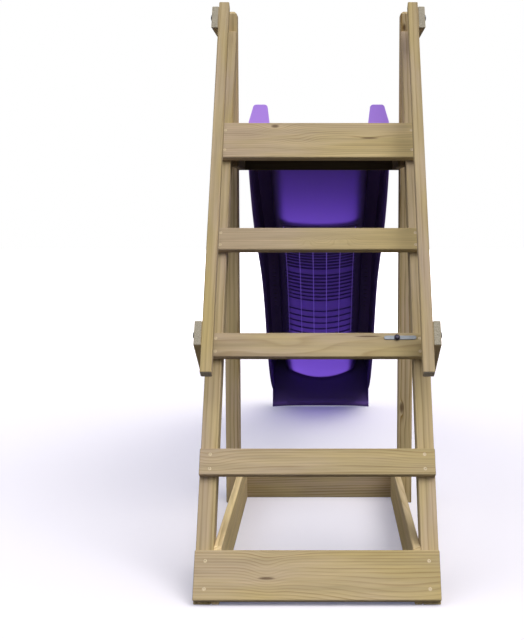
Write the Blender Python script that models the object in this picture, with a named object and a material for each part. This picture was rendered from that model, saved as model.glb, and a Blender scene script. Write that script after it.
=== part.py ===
"""Garden slide: a leaning ladder, two upright posts and a small deck in treated softwood, with a wave chute.

+X is the user's right hand when climbing, +Y is the way down the chute and +Z is up. All lengths are metres.
Places on the ladder are given along its slope and by how far they stand in front of the stringers.
"""

import math

import bpy
import numpy as np
from mathutils import Matrix, Vector

# Frame
FRAME_WIDTH = 0.602  # over the outer faces of stringers and posts
TIMBER_WIDTH = 0.044  # stringers and posts, across the frame
TIMBER_DEPTH = 0.065
BOARD_THICKNESS = 0.020
BOARD_WIDTH = 0.122  # kickboard, base runners, crossbar and platform board
FIT_GAP = 0.0003  # between pieces that touch
EDGE_EASE = 0.0020  # small chamfer along every timber
EASE_ANGLE = math.radians(50)  # corners shallower than this stay sharp

# Ladder
LADDER_TILT = math.radians(31.0)
KICKBOARD_START = 0.0065
TREAD_WIDTH = 0.070
FIRST_TREAD = 0.3195
TREAD_PITCH = 0.325
TREAD_COUNT = 3
PLATFORM_BOARD_START = 1.2755

# Posts
POST_HEIGHT = 1.569
POST_CHAMFER = 0.007
STRINGER_BELOW_POST = 0.064  # how far the cut tops of the stringers stay under the posts' tops
STRINGER_TOP_LAND = 0.0147  # from the stringers' front edge to the posts, along that cut

# Deck
DECK_TOP = 1.196
DECK_BOARD_COUNT = 3
DECK_BOARD_GAP = 0.004
BEARER_WIDTH = 0.098
BEARER_SETBACK = 0.045  # from the ladder's front plane to the bearers' ends, measured level

# Handrails and their arms
RAIL_WIDTH = 0.030
RAIL_DEPTH = 0.032
RAIL_REACH = 0.115  # from the stringers' front to the rails' front
RAIL_BELOW_ARM = 0.0755  # the rails' lower ends under the lower arms
RAIL_ABOVE_POST = 0.011  # the rails' highest corners over the posts' tops
ARM_WIDTH = 0.070
ARM_THICKNESS = 0.020
LOWER_ARM_BELOW_TREAD = 0.008  # its lower edge under that of the middle tread
TOP_ARM_BELOW_POST = 0.005

# Screws through the ladder boards
SCREW_SHANK = 0.0025
SCREW_HEAD = 0.0048
SCREW_HEAD_DEPTH = 0.0034
SCREW_LENGTH = 0.050
SCREW_POINT = 0.008
SCREW_SINK = 0.0004
SCREW_FROM_END = 0.027
SCREW_FROM_EDGE = 0.016
BOARD_SCREW_FROM_EDGE = 0.027

# Coach bolts through the arms
BOLT_SHANK = 0.0038
BOLT_HEAD = 0.0095
BOLT_HEAD_HEIGHT = 0.0042
ARM_BOLT_LENGTH = 0.044

# Screws that hold the chute's tongue to the deck
TONGUE_SCREW_LENGTH = 0.017

# Steel strap on the middle tread
STRAP_LENGTH = 0.087
STRAP_WIDTH = 0.011
STRAP_THICKNESS = 0.0020
STRAP_FROM_END = 0.036  # from the tread's end
STRAP_BELOW_TOP = 0.0150
STRAP_BOLT_FROM_END = 0.052  # from the strap's end nearer the stringer
STRAP_BOLT_HEAD = 0.0080
STRAP_BOLT_HEIGHT = 0.0065
STRAP_BOLT_SHANK = 0.0030
STRAP_BOLT_LENGTH = 0.018

# Chute, across
CHUTE_WIDTH = 0.458
CHUTE_WALL = 0.005
RIM_TOP_OUTER = 0.213
RIM_TOP_INNER = 0.165
RIM_ROUND = 0.011
SIDE_KNEE = 0.055  # from the rim down to where a side has its full width
RIM_TURNS = (10, 50, 90)  # degrees round the rim's corners
BED_HALF_WIDTH = 0.148
BED_CORNER = 0.022
CORNER_TURNS = (20, 60)  # degrees round the corner from wall to bed
BED_DISH_TOP = 0.004
BED_DISH_EXIT = 0.034
FOOT_WIDTH = 0.461
FOOT_ARCH = 0.005
FOOT_ARCH_POWER = 4  # the higher it is, the flatter the middle of the arch

# Chute, along
CHUTE_RUN = 1.600
EXIT_HEIGHT = 0.155  # underside of the bed at the end of the run
EXIT_NOSE = 0.036
BED_ABOVE_EDGE_TOP = 0.105
BED_ABOVE_EDGE = 0.064
SIDE_HEIGHT_TOP = 0.197
SIDE_HEIGHT_EXIT = 0.160
FOOT_RETURN = 0.018
CHUTE_STATIONS = 32
NOSE_STATIONS = 4
FOOT_POINTS = 7
PATH_STEPS = 800
SETTLE_SHARE = 0.25  # of the run, over which the bed settles between the flanges
# slope of the bed in degrees at shares of the run: steep, over the hump, steep again, run-out
SLOPE_SHARES = (0.0, 0.08, 0.18, 0.30, 0.42, 0.52, 0.62, 0.72, 0.82, 0.92, 1.0)
SLOPES = (50.0, 40.2, 31.0, 22.0, 25.0, 36.9, 45.6, 40.1, 30.3, 20.6, 15.4)

# Chute tongue on the deck
TONGUE_LENGTH = 0.060
TONGUE_WIDTH = 0.280
TONGUE_THICKNESS = 0.006
TONGUE_SCREW_SPREAD = 0.105

# Ribs under the bed
RIB_HEIGHT = 0.008
RIB_FOOT = 0.0035  # half widths at the bed and at the tip
RIB_TIP = 0.0015
RIB_PITCH_ACROSS = 0.0525
RIB_COUNT_ACROSS = 6
PAD_HALF_WIDTH = 0.138
PAD_SINK = 0.0024  # the ribs' common web reaches this far into the bed
PAD_FACE = 0.0010  # and stands this far off it
PAD_MARGIN = 0.008
# groups of cross ribs: distance of the first along the bed from its top, and pitch
UPPER_GROUP = 0.526
UPPER_PITCH = 0.0265
UPPER_COUNT = 16
MIDDLE_GROUP = 0.976
MIDDLE_PITCH = 0.025
MIDDLE_COUNT = 8
LOWER_GROUP = 1.222
LOWER_PITCH = 0.040
LOWER_COUNT = 5

SIDES = 10  # facets of a screw or bolt
DOME_TURNS = (35, 65)  # degrees down from the top of a bolt's head
SMOOTH_ANGLE = math.radians(35)
OVERRUN = 0.002  # a cutter reaches this far past the surface it opens

WOOD = (0.50, 0.37, 0.20)
PURPLE = (0.13, 0.05, 0.42)
STEEL = (0.55, 0.58, 0.62)
DARK_STEEL = (0.09, 0.08, 0.10)

HALF_WIDTH = FRAME_WIDTH / 2
INNER_FACE = HALF_WIDTH - TIMBER_WIDTH
RUNNER_FACE = INNER_FACE - BOARD_THICKNESS
STRINGER_TOP = POST_HEIGHT - STRINGER_BELOW_POST
POST_FACE = STRINGER_TOP * math.tan(LADDER_TILT) + STRINGER_TOP_LAND
POST_BACK = POST_FACE + TIMBER_DEPTH
TOP_ARM_TOP = POST_HEIGHT - TOP_ARM_BELOW_POST
LOWER_ARM_START = FIRST_TREAD + TREAD_PITCH - LOWER_ARM_BELOW_TREAD
RAIL_START = LOWER_ARM_START - RAIL_BELOW_ARM
RAIL_TOP = POST_HEIGHT + RAIL_ABOVE_POST
RAIL_END = (RAIL_TOP - RAIL_REACH * math.sin(LADDER_TILT)) / math.cos(LADDER_TILT)
CROSS_START = POST_BACK + FIT_GAP
FRAME_END = CROSS_START + BOARD_THICKNESS
CHUTE_START = FRAME_END + FIT_GAP
CHUTE_END = CHUTE_START + CHUTE_RUN + EXIT_NOSE
BOARD_FACE = FIT_GAP + BOARD_THICKNESS
KICKBOARD_NOSE = BOARD_FACE * math.cos(LADDER_TILT) - (KICKBOARD_START + EDGE_EASE) * math.sin(LADDER_TILT)
MIDDLE_Y = (CHUTE_END - KICKBOARD_NOSE) / 2


def clear_scene():
    for item in list(bpy.data.objects):
        bpy.data.objects.remove(item, do_unlink=True)


def material(name, colour, roughness, metallic=0.0):
    made = bpy.data.materials.new(name)
    made.use_nodes = True
    shader = made.node_tree.nodes["Principled BSDF"]
    shader.inputs["Base Color"].default_value = (*colour, 1)
    shader.inputs["Roughness"].default_value = roughness
    shader.inputs["Metallic"].default_value = metallic
    made.diffuse_color = (*colour, 1)
    return made


def add_object(name, points, faces, made_of, smooth=False):
    """A mesh object whose points are already in place, moved so that the part's middle is over the origin."""
    mesh = bpy.data.meshes.new(name)
    mesh.from_pydata([Vector(p) - Vector((0, MIDDLE_Y, 0)) for p in points], [], faces)
    if smooth:
        mesh.shade_smooth()
        mesh.set_sharp_from_angle(angle=SMOOTH_ANGLE)
    mesh.validate()
    item = bpy.data.objects.new(name, mesh)
    bpy.context.scene.collection.objects.link(item)
    item.data.materials.append(made_of)
    return item


def on_ladder(along, front):
    """(y, z) of a place on the ladder, from its distance up the slope and in front of the stringers."""
    return (
        along * math.sin(LADDER_TILT) - front * math.cos(LADDER_TILT),
        along * math.cos(LADDER_TILT) + front * math.sin(LADDER_TILT),
    )


def slab(name, x_low, x_high, outline, made_of):
    """An outline of (y, z) points, anticlockwise seen from +X, given its thickness along X."""
    count = len(outline)
    points = [(x, y, z) for x in (x_low, x_high) for y, z in outline]
    faces = [tuple(reversed(range(count))), tuple(range(count, 2 * count))]
    faces += [(i, (i + 1) % count, count + (i + 1) % count, count + i) for i in range(count)]
    return add_object(name, points, faces, made_of)


def ease_edges(item):
    """Gives sawn timber its small chamfers, but leaves shallow corners sharp."""
    bevel = item.modifiers.new("eased edges", "BEVEL")
    bevel.width = EDGE_EASE
    bevel.segments = 1
    bevel.limit_method = "ANGLE"
    bevel.angle_limit = EASE_ANGLE


def timber(name, x_low, x_high, outline, wood):
    piece = slab(name, x_low, x_high, outline, wood)
    ease_edges(piece)
    return piece


def ladder_outline(start, end, back, front):
    """The section of a board that lies in the ladder's plane."""
    return [on_ladder(start, front), on_ladder(start, back), on_ladder(end, back), on_ladder(end, front)]


def box_outline(y_low, y_high, z_low, z_high):
    return [(y_low, z_low), (y_high, z_low), (y_high, z_high), (y_low, z_high)]


def both_sides(name, x_low, x_high, outline, wood):
    """Two alike timbers, one each side of the frame; the x values are those of the right-hand one."""
    return {
        "left": timber(f"{name}_left", -x_high, -x_low, outline, wood),
        "right": timber(f"{name}_right", x_low, x_high, outline, wood),
    }


def turned(profile):
    """Points and faces of a closed shape turned about its own Z axis from (radius, height) pairs."""
    points, rings, faces = [], [], []
    for radius, height in profile:
        if radius == 0:
            rings.append([len(points)] * SIDES)
            points.append((0.0, 0.0, height))
            continue
        rings.append(range(len(points), len(points) + SIDES))
        turns = [2 * math.pi * k / SIDES for k in range(SIDES)]
        points += [(radius * math.cos(a), radius * math.sin(a), height) for a in turns]
    for upper, lower in zip(rings, rings[1:]):
        for k in range(SIDES):
            after = (k + 1) % SIDES
            corners = (upper[k], lower[k], lower[after], upper[after])
            faces.append(tuple(dict.fromkeys(corners)))
    return points, faces


def placed(points, place, outward):
    """The points with their own +Z turned to face outward and their origin moved to place."""
    turn = Vector((0, 0, 1)).rotation_difference(Vector(outward)).to_matrix().to_4x4()
    matrix = Matrix.Translation(Vector(place)) @ turn
    return [matrix @ Vector(p) for p in points]


def wood_screw_profile(length):
    """A countersunk screw with a plain shank and a point."""
    return [
        (0.0, -SCREW_SINK),
        (SCREW_HEAD, -SCREW_SINK),
        (SCREW_SHANK, -SCREW_SINK - SCREW_HEAD_DEPTH),
        (SCREW_SHANK, -length + SCREW_POINT),
        (0.0, -length),
    ]


def screw_hole_profile(length):
    """The screw's own shape, wider by the fit gap and open at its head."""
    head, shank = SCREW_HEAD + FIT_GAP, SCREW_SHANK + FIT_GAP
    return [
        (0.0, OVERRUN),
        (head, OVERRUN),
        (head, -SCREW_SINK - FIT_GAP),
        (shank, -SCREW_SINK - SCREW_HEAD_DEPTH - FIT_GAP),
        (shank, -length - FIT_GAP),
        (0.0, -length - FIT_GAP),
    ]


def bolt_profile(head, height, shank, length):
    """A domed head that stands on the surface, and a plain shank under it."""
    turns = [math.radians(turn) for turn in DOME_TURNS]
    dome = [(head * math.sin(turn), FIT_GAP + height * math.cos(turn)) for turn in turns]
    under = [(head, FIT_GAP), (shank, FIT_GAP), (shank, -length), (0.0, -length)]
    return [(0.0, FIT_GAP + height)] + dome + under


def bolt_hole_profile(shank, length):
    return [
        (0.0, OVERRUN),
        (shank + FIT_GAP, OVERRUN),
        (shank + FIT_GAP, -length - FIT_GAP),
        (0.0, -length - FIT_GAP),
    ]


class Holes:
    """Collects the holes of each piece and cuts them all in one go."""

    def __init__(self):
        self.shapes = {}

    def add(self, pieces, profile, place, outward):
        points, faces = turned(profile)
        for piece in pieces:
            self.shapes.setdefault(piece.name, (piece, []))[1].append((placed(points, place, outward), faces))

    def cut(self):
        for piece, shapes in self.shapes.values():
            points, faces = [], []
            for shape_points, shape_faces in shapes:
                first = len(points)
                points += shape_points
                faces += [tuple(first + k for k in face) for face in shape_faces]
            cutter = add_object(f"{piece.name}_holes", points, faces, piece.data.materials[0])
            cutter.hide_render = True
            cutter.display_type = "WIRE"
            boolean = piece.modifiers.new("fastener holes", "BOOLEAN")
            boolean.operation = "DIFFERENCE"
            boolean.solver = "EXACT"
            boolean.object = cutter


def add_screw(name, length, place, outward, pieces, holes, made_of):
    points, faces = turned(wood_screw_profile(length))
    holes.add(pieces, screw_hole_profile(length), place, outward)
    return add_object(name, placed(points, place, outward), faces, made_of, smooth=True)


def add_bolt(name, sizes, place, outward, pieces, holes, made_of):
    head, height, shank, length = sizes
    points, faces = turned(bolt_profile(head, height, shank, length))
    holes.add(pieces, bolt_hole_profile(shank, length), place, outward)
    return add_object(name, placed(points, place, outward), faces, made_of, smooth=True)


def board_screws(name, board, stringers, rows, holes, made_of):
    """Two screws at each end of a ladder board, through it into the stringer behind."""
    outward = (0, -math.cos(LADDER_TILT), math.sin(LADDER_TILT))
    for side, stringer in stringers.items():
        x = (HALF_WIDTH - SCREW_FROM_END) * (1 if side == "right" else -1)
        for label, along in zip(("lower", "upper"), rows):
            place = (x, *on_ladder(along, BOARD_FACE))
            pieces = (board, stringer)
            add_screw(f"{name}_screw_{side}_{label}", SCREW_LENGTH, place, outward, pieces, holes, made_of)


def build_ladder(wood, steel, holes):
    """Stringers, kickboard, treads and platform board, with their screws."""
    back_at_foot = TIMBER_DEPTH / math.cos(LADDER_TILT)
    post_side = POST_FACE - FIT_GAP
    stringers = both_sides(
        "ladder_stringer",
        INNER_FACE,
        HALF_WIDTH,
        [
            (0.0, 0.0),
            (back_at_foot, 0.0),
            (post_side, (post_side - back_at_foot) / math.tan(LADDER_TILT)),
            (post_side, STRINGER_TOP),
            (STRINGER_TOP * math.tan(LADDER_TILT), STRINGER_TOP),
        ],
        wood,
    )
    boards = {"kickboard": (KICKBOARD_START, BOARD_WIDTH, BOARD_SCREW_FROM_EDGE)}
    for number in range(TREAD_COUNT):
        start = FIRST_TREAD + number * TREAD_PITCH
        boards[f"ladder_tread_{number + 1}"] = (start, TREAD_WIDTH, SCREW_FROM_EDGE)
    boards["platform_rear_board"] = (PLATFORM_BOARD_START, BOARD_WIDTH, BOARD_SCREW_FROM_EDGE)
    made = dict(stringers)
    for name, (start, width, inset) in boards.items():
        outline = ladder_outline(start, start + width, FIT_GAP, BOARD_FACE)
        board = timber(name, -HALF_WIDTH, HALF_WIDTH, outline, wood)
        made[name] = board
        board_screws(name, board, stringers, (start + inset, start + width - inset), holes, steel)
    return made


def build_base(wood):
    """Two runners on the ground inside the frame, and the crossbar over the posts' far faces."""
    top_of_cut = BOARD_WIDTH * math.tan(LADDER_TILT)
    outline = [(0.0, 0.0), (POST_BACK, 0.0), (POST_BACK, BOARD_WIDTH), (top_of_cut, BOARD_WIDTH)]
    both_sides("base_runner", RUNNER_FACE, INNER_FACE - FIT_GAP, outline, wood)
    outline = box_outline(CROSS_START, FRAME_END, 0.0, BOARD_WIDTH)
    timber("base_crossbar", -HALF_WIDTH, HALF_WIDTH, outline, wood)


def build_posts(wood):
    """Upright posts with chamfered tops."""
    shoulder = POST_HEIGHT - POST_CHAMFER
    posts = {}
    for side, sign in (("left", -1), ("right", 1)):
        x_low, x_high = sorted((sign * INNER_FACE, sign * HALF_WIDTH))
        rings = []
        for inset, height in ((0.0, 0.0), (0.0, shoulder), (POST_CHAMFER, POST_HEIGHT)):
            rings.append(
                [
                    (x_low + inset, POST_FACE + inset, height),
                    (x_high - inset, POST_FACE + inset, height),
                    (x_high - inset, POST_BACK - inset, height),
                    (x_low + inset, POST_BACK - inset, height),
                ]
            )
        points = [point for ring in rings for point in ring]
        faces = [(3, 2, 1, 0), (8, 9, 10, 11)]
        for ring in (0, 4):
            faces += [(ring + k, ring + (k + 1) % 4, ring + 4 + (k + 1) % 4, ring + 4 + k) for k in range(4)]
        posts[side] = add_object(f"slide_post_{side}", points, faces, wood)
        ease_edges(posts[side])
    return posts


def build_deck(wood):
    """Bearers along the frame, the beam that carries the chute, and the deck boards between the two ends."""
    bearer_top = DECK_TOP - BOARD_THICKNESS - FIT_GAP
    bearer_bottom = bearer_top - BEARER_WIDTH
    tilt = math.tan(LADDER_TILT)
    outline = [
        (bearer_bottom * tilt + BEARER_SETBACK, bearer_bottom),
        (POST_BACK, bearer_bottom),
        (POST_BACK, bearer_top),
        (bearer_top * tilt + BEARER_SETBACK, bearer_top),
    ]
    both_sides("platform_bearer", RUNNER_FACE, INNER_FACE - FIT_GAP, outline, wood)
    beam = box_outline(CROSS_START, FRAME_END, bearer_bottom, DECK_TOP)
    timber("platform_front_beam", -HALF_WIDTH, HALF_WIDTH, beam, wood)
    first = DECK_TOP * tilt + FIT_GAP
    width = (POST_BACK - first - (DECK_BOARD_COUNT - 1) * DECK_BOARD_GAP) / DECK_BOARD_COUNT
    boards = []
    for number in range(DECK_BOARD_COUNT):
        start = first + number * (width + DECK_BOARD_GAP)
        outline = box_outline(start, start + width, DECK_TOP - BOARD_THICKNESS, DECK_TOP)
        side = INNER_FACE - FIT_GAP
        boards.append(timber(f"deck_board_{number + 1}", -side, side, outline, wood))
    return boards


def build_rails(wood, steel, stringers, posts, holes):
    """Handrails, the arms that stand them off the ladder, and the arms' coach bolts."""
    rails = both_sides(
        "handrail",
        HALF_WIDTH - RAIL_WIDTH,
        HALF_WIDTH,
        ladder_outline(RAIL_START, RAIL_END, RAIL_REACH - RAIL_DEPTH, RAIL_REACH),
        wood,
    )
    arm_inner = HALF_WIDTH + FIT_GAP
    arm_outer = arm_inner + ARM_THICKNESS
    top_arm_bottom = TOP_ARM_TOP - ARM_WIDTH
    rail_front = -RAIL_REACH / math.cos(LADDER_TILT)
    tilt = math.tan(LADDER_TILT)
    top_arms = both_sides(
        "top_arm",
        arm_inner,
        arm_outer,
        [
            (rail_front + top_arm_bottom * tilt, top_arm_bottom),
            (POST_BACK, top_arm_bottom),
            (POST_BACK, TOP_ARM_TOP),
            (rail_front + TOP_ARM_TOP * tilt, TOP_ARM_TOP),
        ],
        wood,
    )
    lower_arms = both_sides(
        "lower_arm",
        arm_inner,
        arm_outer,
        ladder_outline(LOWER_ARM_START, LOWER_ARM_START + ARM_WIDTH, -TIMBER_DEPTH, RAIL_REACH),
        wood,
    )
    rail_line = RAIL_REACH - RAIL_DEPTH / 2
    arm_height = TOP_ARM_TOP - ARM_WIDTH / 2
    rail_at_top = -rail_line / math.cos(LADDER_TILT) + arm_height * tilt
    lower_middle = LOWER_ARM_START + ARM_WIDTH / 2
    sizes = (BOLT_HEAD, BOLT_HEAD_HEIGHT, BOLT_SHANK, ARM_BOLT_LENGTH)
    for side, sign in (("left", -1), ("right", 1)):
        joints = {
            "top_arm_rail": (rail_at_top, arm_height, top_arms[side], rails[side]),
            "top_arm_post": ((POST_FACE + POST_BACK) / 2, arm_height, top_arms[side], posts[side]),
            "lower_arm_rail": (*on_ladder(lower_middle, rail_line), lower_arms[side], rails[side]),
            "lower_arm_stringer": (
                *on_ladder(lower_middle, -TIMBER_DEPTH / 2),
                lower_arms[side],
                stringers[side],
            ),
        }
        for name, (y, z, arm, carrier) in joints.items():
            place = (sign * arm_outer, y, z)
            add_bolt(f"{name}_bolt_{side}", sizes, place, (sign, 0, 0), (arm, carrier), holes, steel)


def build_strap(steel, dark_steel, tread, holes):
    """The short steel strap on the middle tread, and its bolt."""
    top = FIRST_TREAD + TREAD_PITCH + TREAD_WIDTH
    middle = top - STRAP_BELOW_TOP
    face = BOARD_FACE + FIT_GAP
    outline = ladder_outline(
        middle - STRAP_WIDTH / 2, middle + STRAP_WIDTH / 2, face, face + STRAP_THICKNESS
    )
    end = HALF_WIDTH - STRAP_FROM_END
    strap = slab("steel_strap", end - STRAP_LENGTH, end, outline, steel)
    outward = (0, -math.cos(LADDER_TILT), math.sin(LADDER_TILT))
    place = (end - STRAP_BOLT_FROM_END, *on_ladder(middle, face + STRAP_THICKNESS))
    sizes = (STRAP_BOLT_HEAD, STRAP_BOLT_HEIGHT, STRAP_BOLT_SHANK, STRAP_BOLT_LENGTH)
    add_bolt("steel_strap_bolt", sizes, place, outward, (strap, tread), holes, dark_steel)


def drop_share(share):
    """How much of the whole drop the bed has made at a share of the run."""
    steps = np.linspace(0.0, 1.0, PATH_STEPS + 1)
    slope = np.tan(np.radians(np.interp(steps, SLOPE_SHARES, SLOPES)))
    fallen = np.concatenate([[0.0], np.cumsum((slope[1:] + slope[:-1]) / 2)])
    return np.interp(share, steps, fallen / fallen[-1])


def bed_underside(share):
    """Height of the bed's underside along the chute's middle."""
    start = DECK_TOP + FIT_GAP
    return start - (start - EXIT_HEIGHT) * drop_share(share)


def bed_dish(share):
    """How much lower the bed is at its middle than at its edges."""
    return BED_DISH_TOP + (BED_DISH_EXIT - BED_DISH_TOP) * share


def section(share, inset):
    """Half of the section at a share of the run: (x, z) points from the flange's lower edge to the middle.

    inset is nothing for the outer surface and the wall thickness for the surface under it.
    """
    settle = max(0.0, 1.0 - share / SETTLE_SHARE)
    bed_over_edge = BED_ABOVE_EDGE + (BED_ABOVE_EDGE_TOP - BED_ABOVE_EDGE) * settle
    under = float(bed_underside(share))
    edge = under - bed_over_edge
    top = edge + SIDE_HEIGHT_TOP + (SIDE_HEIGHT_EXIT - SIDE_HEIGHT_TOP) * share - inset
    middle = under + CHUTE_WALL - inset
    dish = bed_dish(share)
    outer, inner = RIM_TOP_OUTER - inset, RIM_TOP_INNER + inset
    rim_round = RIM_ROUND - inset / 2
    points = [(CHUTE_WIDTH / 2 - inset, edge), (CHUTE_WIDTH / 2 - inset, top - SIDE_KNEE)]
    for turn in map(math.radians, RIM_TURNS):
        points.append((outer - rim_round * (1 - math.cos(turn)), top - rim_round * (1 - math.sin(turn))))
    for turn in map(math.radians, reversed(RIM_TURNS)):
        points.append((inner + rim_round * (1 - math.cos(turn)), top - rim_round * (1 - math.sin(turn))))
    wall_foot = BED_HALF_WIDTH + inset + BED_CORNER / 2
    for turn in map(math.radians, CORNER_TURNS):
        x = wall_foot - BED_CORNER * (1 - math.cos(turn))
        points.append((x, middle + dish + BED_CORNER * (1 - math.sin(turn))))
    bed_edge = wall_foot - BED_CORNER
    for part in (1.0, 2 / 3, 1 / 3, 0.0):
        points.append((bed_edge * part, middle + dish * part * part))
    return points


def mirrored(half, y):
    """A whole ring of (x, y, z) points from half a section."""
    return [(-x, y, z) for x, z in half] + [(x, y, z) for x, z in reversed(half[:-1])]


def chute_surface(inset):
    """Rings of points from the top of the chute to its foot, over one of its two surfaces."""
    run_end = CHUTE_START + CHUTE_RUN
    last = CHUTE_END - inset
    rings = []
    for share in np.linspace(inset / CHUTE_RUN, 1.0, CHUTE_STATIONS):
        rings.append(mirrored(section(share, inset), CHUTE_START + CHUTE_RUN * share))
    for step in range(1, NOSE_STATIONS + 1):
        turn = math.pi / 2 * step / NOSE_STATIONS
        y = run_end + (last - run_end) * math.sin(turn)
        sink = (EXIT_NOSE - inset) * (1 - math.cos(turn))
        half = section(1.0, inset)
        edge_x, edge_z = half[0]
        foot_share = max(0.0, (y - last + FOOT_RETURN) / FOOT_RETURN)
        foot_x = FOOT_WIDTH / 2 - inset
        foot = (edge_x + (foot_x - edge_x) * foot_share, edge_z * (1 - foot_share))
        rings.append(mirrored([foot] + [(x, z - sink) for x, z in half[1:]], y))
    return rings


def foot_arch(ring):
    """Points along the lifted lower edge of the foot, from the right corner back to the left one."""
    (half_width, y, _) = ring[-1]
    shares = [1 - 2 * k / (FOOT_POINTS + 1) for k in range(1, FOOT_POINTS + 1)]
    return [(half_width * s, y, FOOT_ARCH * (1 - s**FOOT_ARCH_POWER)) for s in shares]


def build_chute(plastic):
    """One closed shell: the outer surface, the surface inside it by a wall's thickness, and the rim."""
    surfaces = [chute_surface(0.0), chute_surface(CHUTE_WALL)]
    across = len(surfaces[0][0])
    along = len(surfaces[0])
    points, firsts, arches = [], [], []
    for rings in surfaces:
        firsts.append(len(points))
        points += [p for ring in rings for p in ring]
        arches.append(list(range(len(points), len(points) + FOOT_POINTS)))
        points += foot_arch(rings[-1])
    faces = []

    def at(surface, ring, k):
        return firsts[surface] + ring * across + k

    last = across - 1
    for ring in range(along - 1):
        for k in range(last):
            faces.append((at(0, ring, k), at(0, ring, k + 1), at(0, ring + 1, k + 1), at(0, ring + 1, k)))
            faces.append((at(1, ring, k), at(1, ring + 1, k), at(1, ring + 1, k + 1), at(1, ring, k + 1)))
        faces.append((at(0, ring, 0), at(0, ring + 1, 0), at(1, ring + 1, 0), at(1, ring, 0)))
        faces.append((at(0, ring + 1, last), at(0, ring, last), at(1, ring, last), at(1, ring + 1, last)))
    for surface in (0, 1):
        top = [at(surface, 0, k) for k in range(across)]
        foot = [at(surface, along - 1, k) for k in range(across)] + arches[surface]
        faces.append(tuple(top if surface else top[::-1]))
        faces.append(tuple(foot[::-1] if surface else foot))
    faces.append((at(0, 0, 0), at(1, 0, 0), at(1, 0, last), at(0, 0, last)))
    edges = [[at(s, along - 1, last)] + arches[s] + [at(s, along - 1, 0)] for s in (0, 1)]
    for k in range(FOOT_POINTS + 1):
        faces.append((edges[0][k + 1], edges[0][k], edges[1][k], edges[1][k + 1]))
    return add_object("slide_chute", points, faces, plastic, smooth=True)


def rib_rows():
    """(distance along the bed, stands out) for each line across the rib pad."""
    rows = []
    groups = (
        (UPPER_GROUP, UPPER_PITCH, UPPER_COUNT),
        (MIDDLE_GROUP, MIDDLE_PITCH, MIDDLE_COUNT),
        (LOWER_GROUP, LOWER_PITCH, LOWER_COUNT),
    )
    for first, pitch, count in groups:
        if rows:
            before = rows[-1][0]
            rows += [(before + (first - before) * share, False) for share in (1 / 3, 2 / 3)]
        for k in range(count):
            middle = first + k * pitch
            rows += [(middle - RIB_FOOT, False), (middle, True), (middle + RIB_FOOT, False)]
    return [(rows[0][0] - PAD_MARGIN, False)] + rows + [(rows[-1][0] + PAD_MARGIN, False)]


def rib_columns():
    """(x, stands out) for each line along the rib pad."""
    columns = [(-PAD_HALF_WIDTH, False)]
    for k in range(RIB_COUNT_ACROSS):
        middle = (k - (RIB_COUNT_ACROSS - 1) / 2) * RIB_PITCH_ACROSS
        columns += [(middle - RIB_FOOT, False), (middle - RIB_TIP, True)]
        columns += [(middle + RIB_TIP, True), (middle + RIB_FOOT, False)]
    return columns + [(PAD_HALF_WIDTH, False)]


def build_ribs(plastic):
    """The ribs under the bed and the thin web between them, which the chute takes in."""
    shares = np.linspace(0.0, 1.0, PATH_STEPS + 1)
    ys = CHUTE_START + CHUTE_RUN * shares
    zs = bed_underside(shares)
    steps = np.hypot(np.diff(ys), np.diff(zs))
    lengths = np.concatenate([[0.0], np.cumsum(steps)])
    slopes = np.arctan2(-np.gradient(zs), np.gradient(ys))
    bed_edge = BED_HALF_WIDTH + CHUTE_WALL - BED_CORNER / 2
    rows, columns = rib_rows(), rib_columns()
    points = []
    for sunk in (False, True):
        for length, row_out in rows:
            tables = (ys, zs, slopes, shares)
            y, z, slope, share = (float(np.interp(length, lengths, table)) for table in tables)
            for x, column_out in columns:
                depth = RIB_HEIGHT if row_out or column_out else PAD_FACE
                depth = -PAD_SINK if sunk else depth
                rise = float(bed_dish(share)) * (x / bed_edge) ** 2
                points.append((x, y - depth * math.sin(slope), z + rise - depth * math.cos(slope)))
    wide = len(columns)
    under = len(rows) * wide
    faces = []
    for row in range(len(rows) - 1):
        for k in range(wide - 1):
            a, b = row * wide + k, (row + 1) * wide + k
            faces += [(a, b, b + 1, a + 1), (under + a, under + a + 1, under + b + 1, under + b)]
    for row in range(len(rows) - 1):
        left, right = row * wide, row * wide + wide - 1
        faces.append((left, under + left, under + left + wide, left + wide))
        faces.append((right + wide, under + right + wide, under + right, right))
    for k in range(wide - 1):
        last = (len(rows) - 1) * wide + k
        faces.append((k, k + 1, under + k + 1, under + k))
        faces.append((under + last, under + last + 1, last + 1, last))
    return add_object("chute_ribs", points, faces, plastic)


def take_in(chute, addition):
    """Makes the addition one body with the chute."""
    addition.hide_render = True
    addition.display_type = "WIRE"
    joined = chute.modifiers.new(f"take in {addition.name}", "BOOLEAN")
    joined.operation = "UNION"
    joined.solver = "EXACT"
    joined.object = addition


def add_tongue(chute, deck_board, steel, plastic, holes):
    """The flat tongue that laps onto the deck, and the screws that hold it there."""
    low = DECK_TOP + FIT_GAP
    start = FRAME_END - TONGUE_LENGTH
    end = CHUTE_START + CHUTE_WALL / 2
    outline = box_outline(start, end, low, low + TONGUE_THICKNESS)
    tongue = slab("chute_tongue", -TONGUE_WIDTH / 2, TONGUE_WIDTH / 2, outline, plastic)
    take_in(chute, tongue)
    middle = (start + POST_BACK) / 2
    for label, x in (("left", -TONGUE_SCREW_SPREAD), ("middle", 0.0), ("right", TONGUE_SCREW_SPREAD)):
        place = (x, middle, low + TONGUE_THICKNESS)
        name = f"chute_screw_{label}"
        add_screw(name, TONGUE_SCREW_LENGTH, place, (0, 0, 1), (chute, deck_board), holes, steel)


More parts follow.
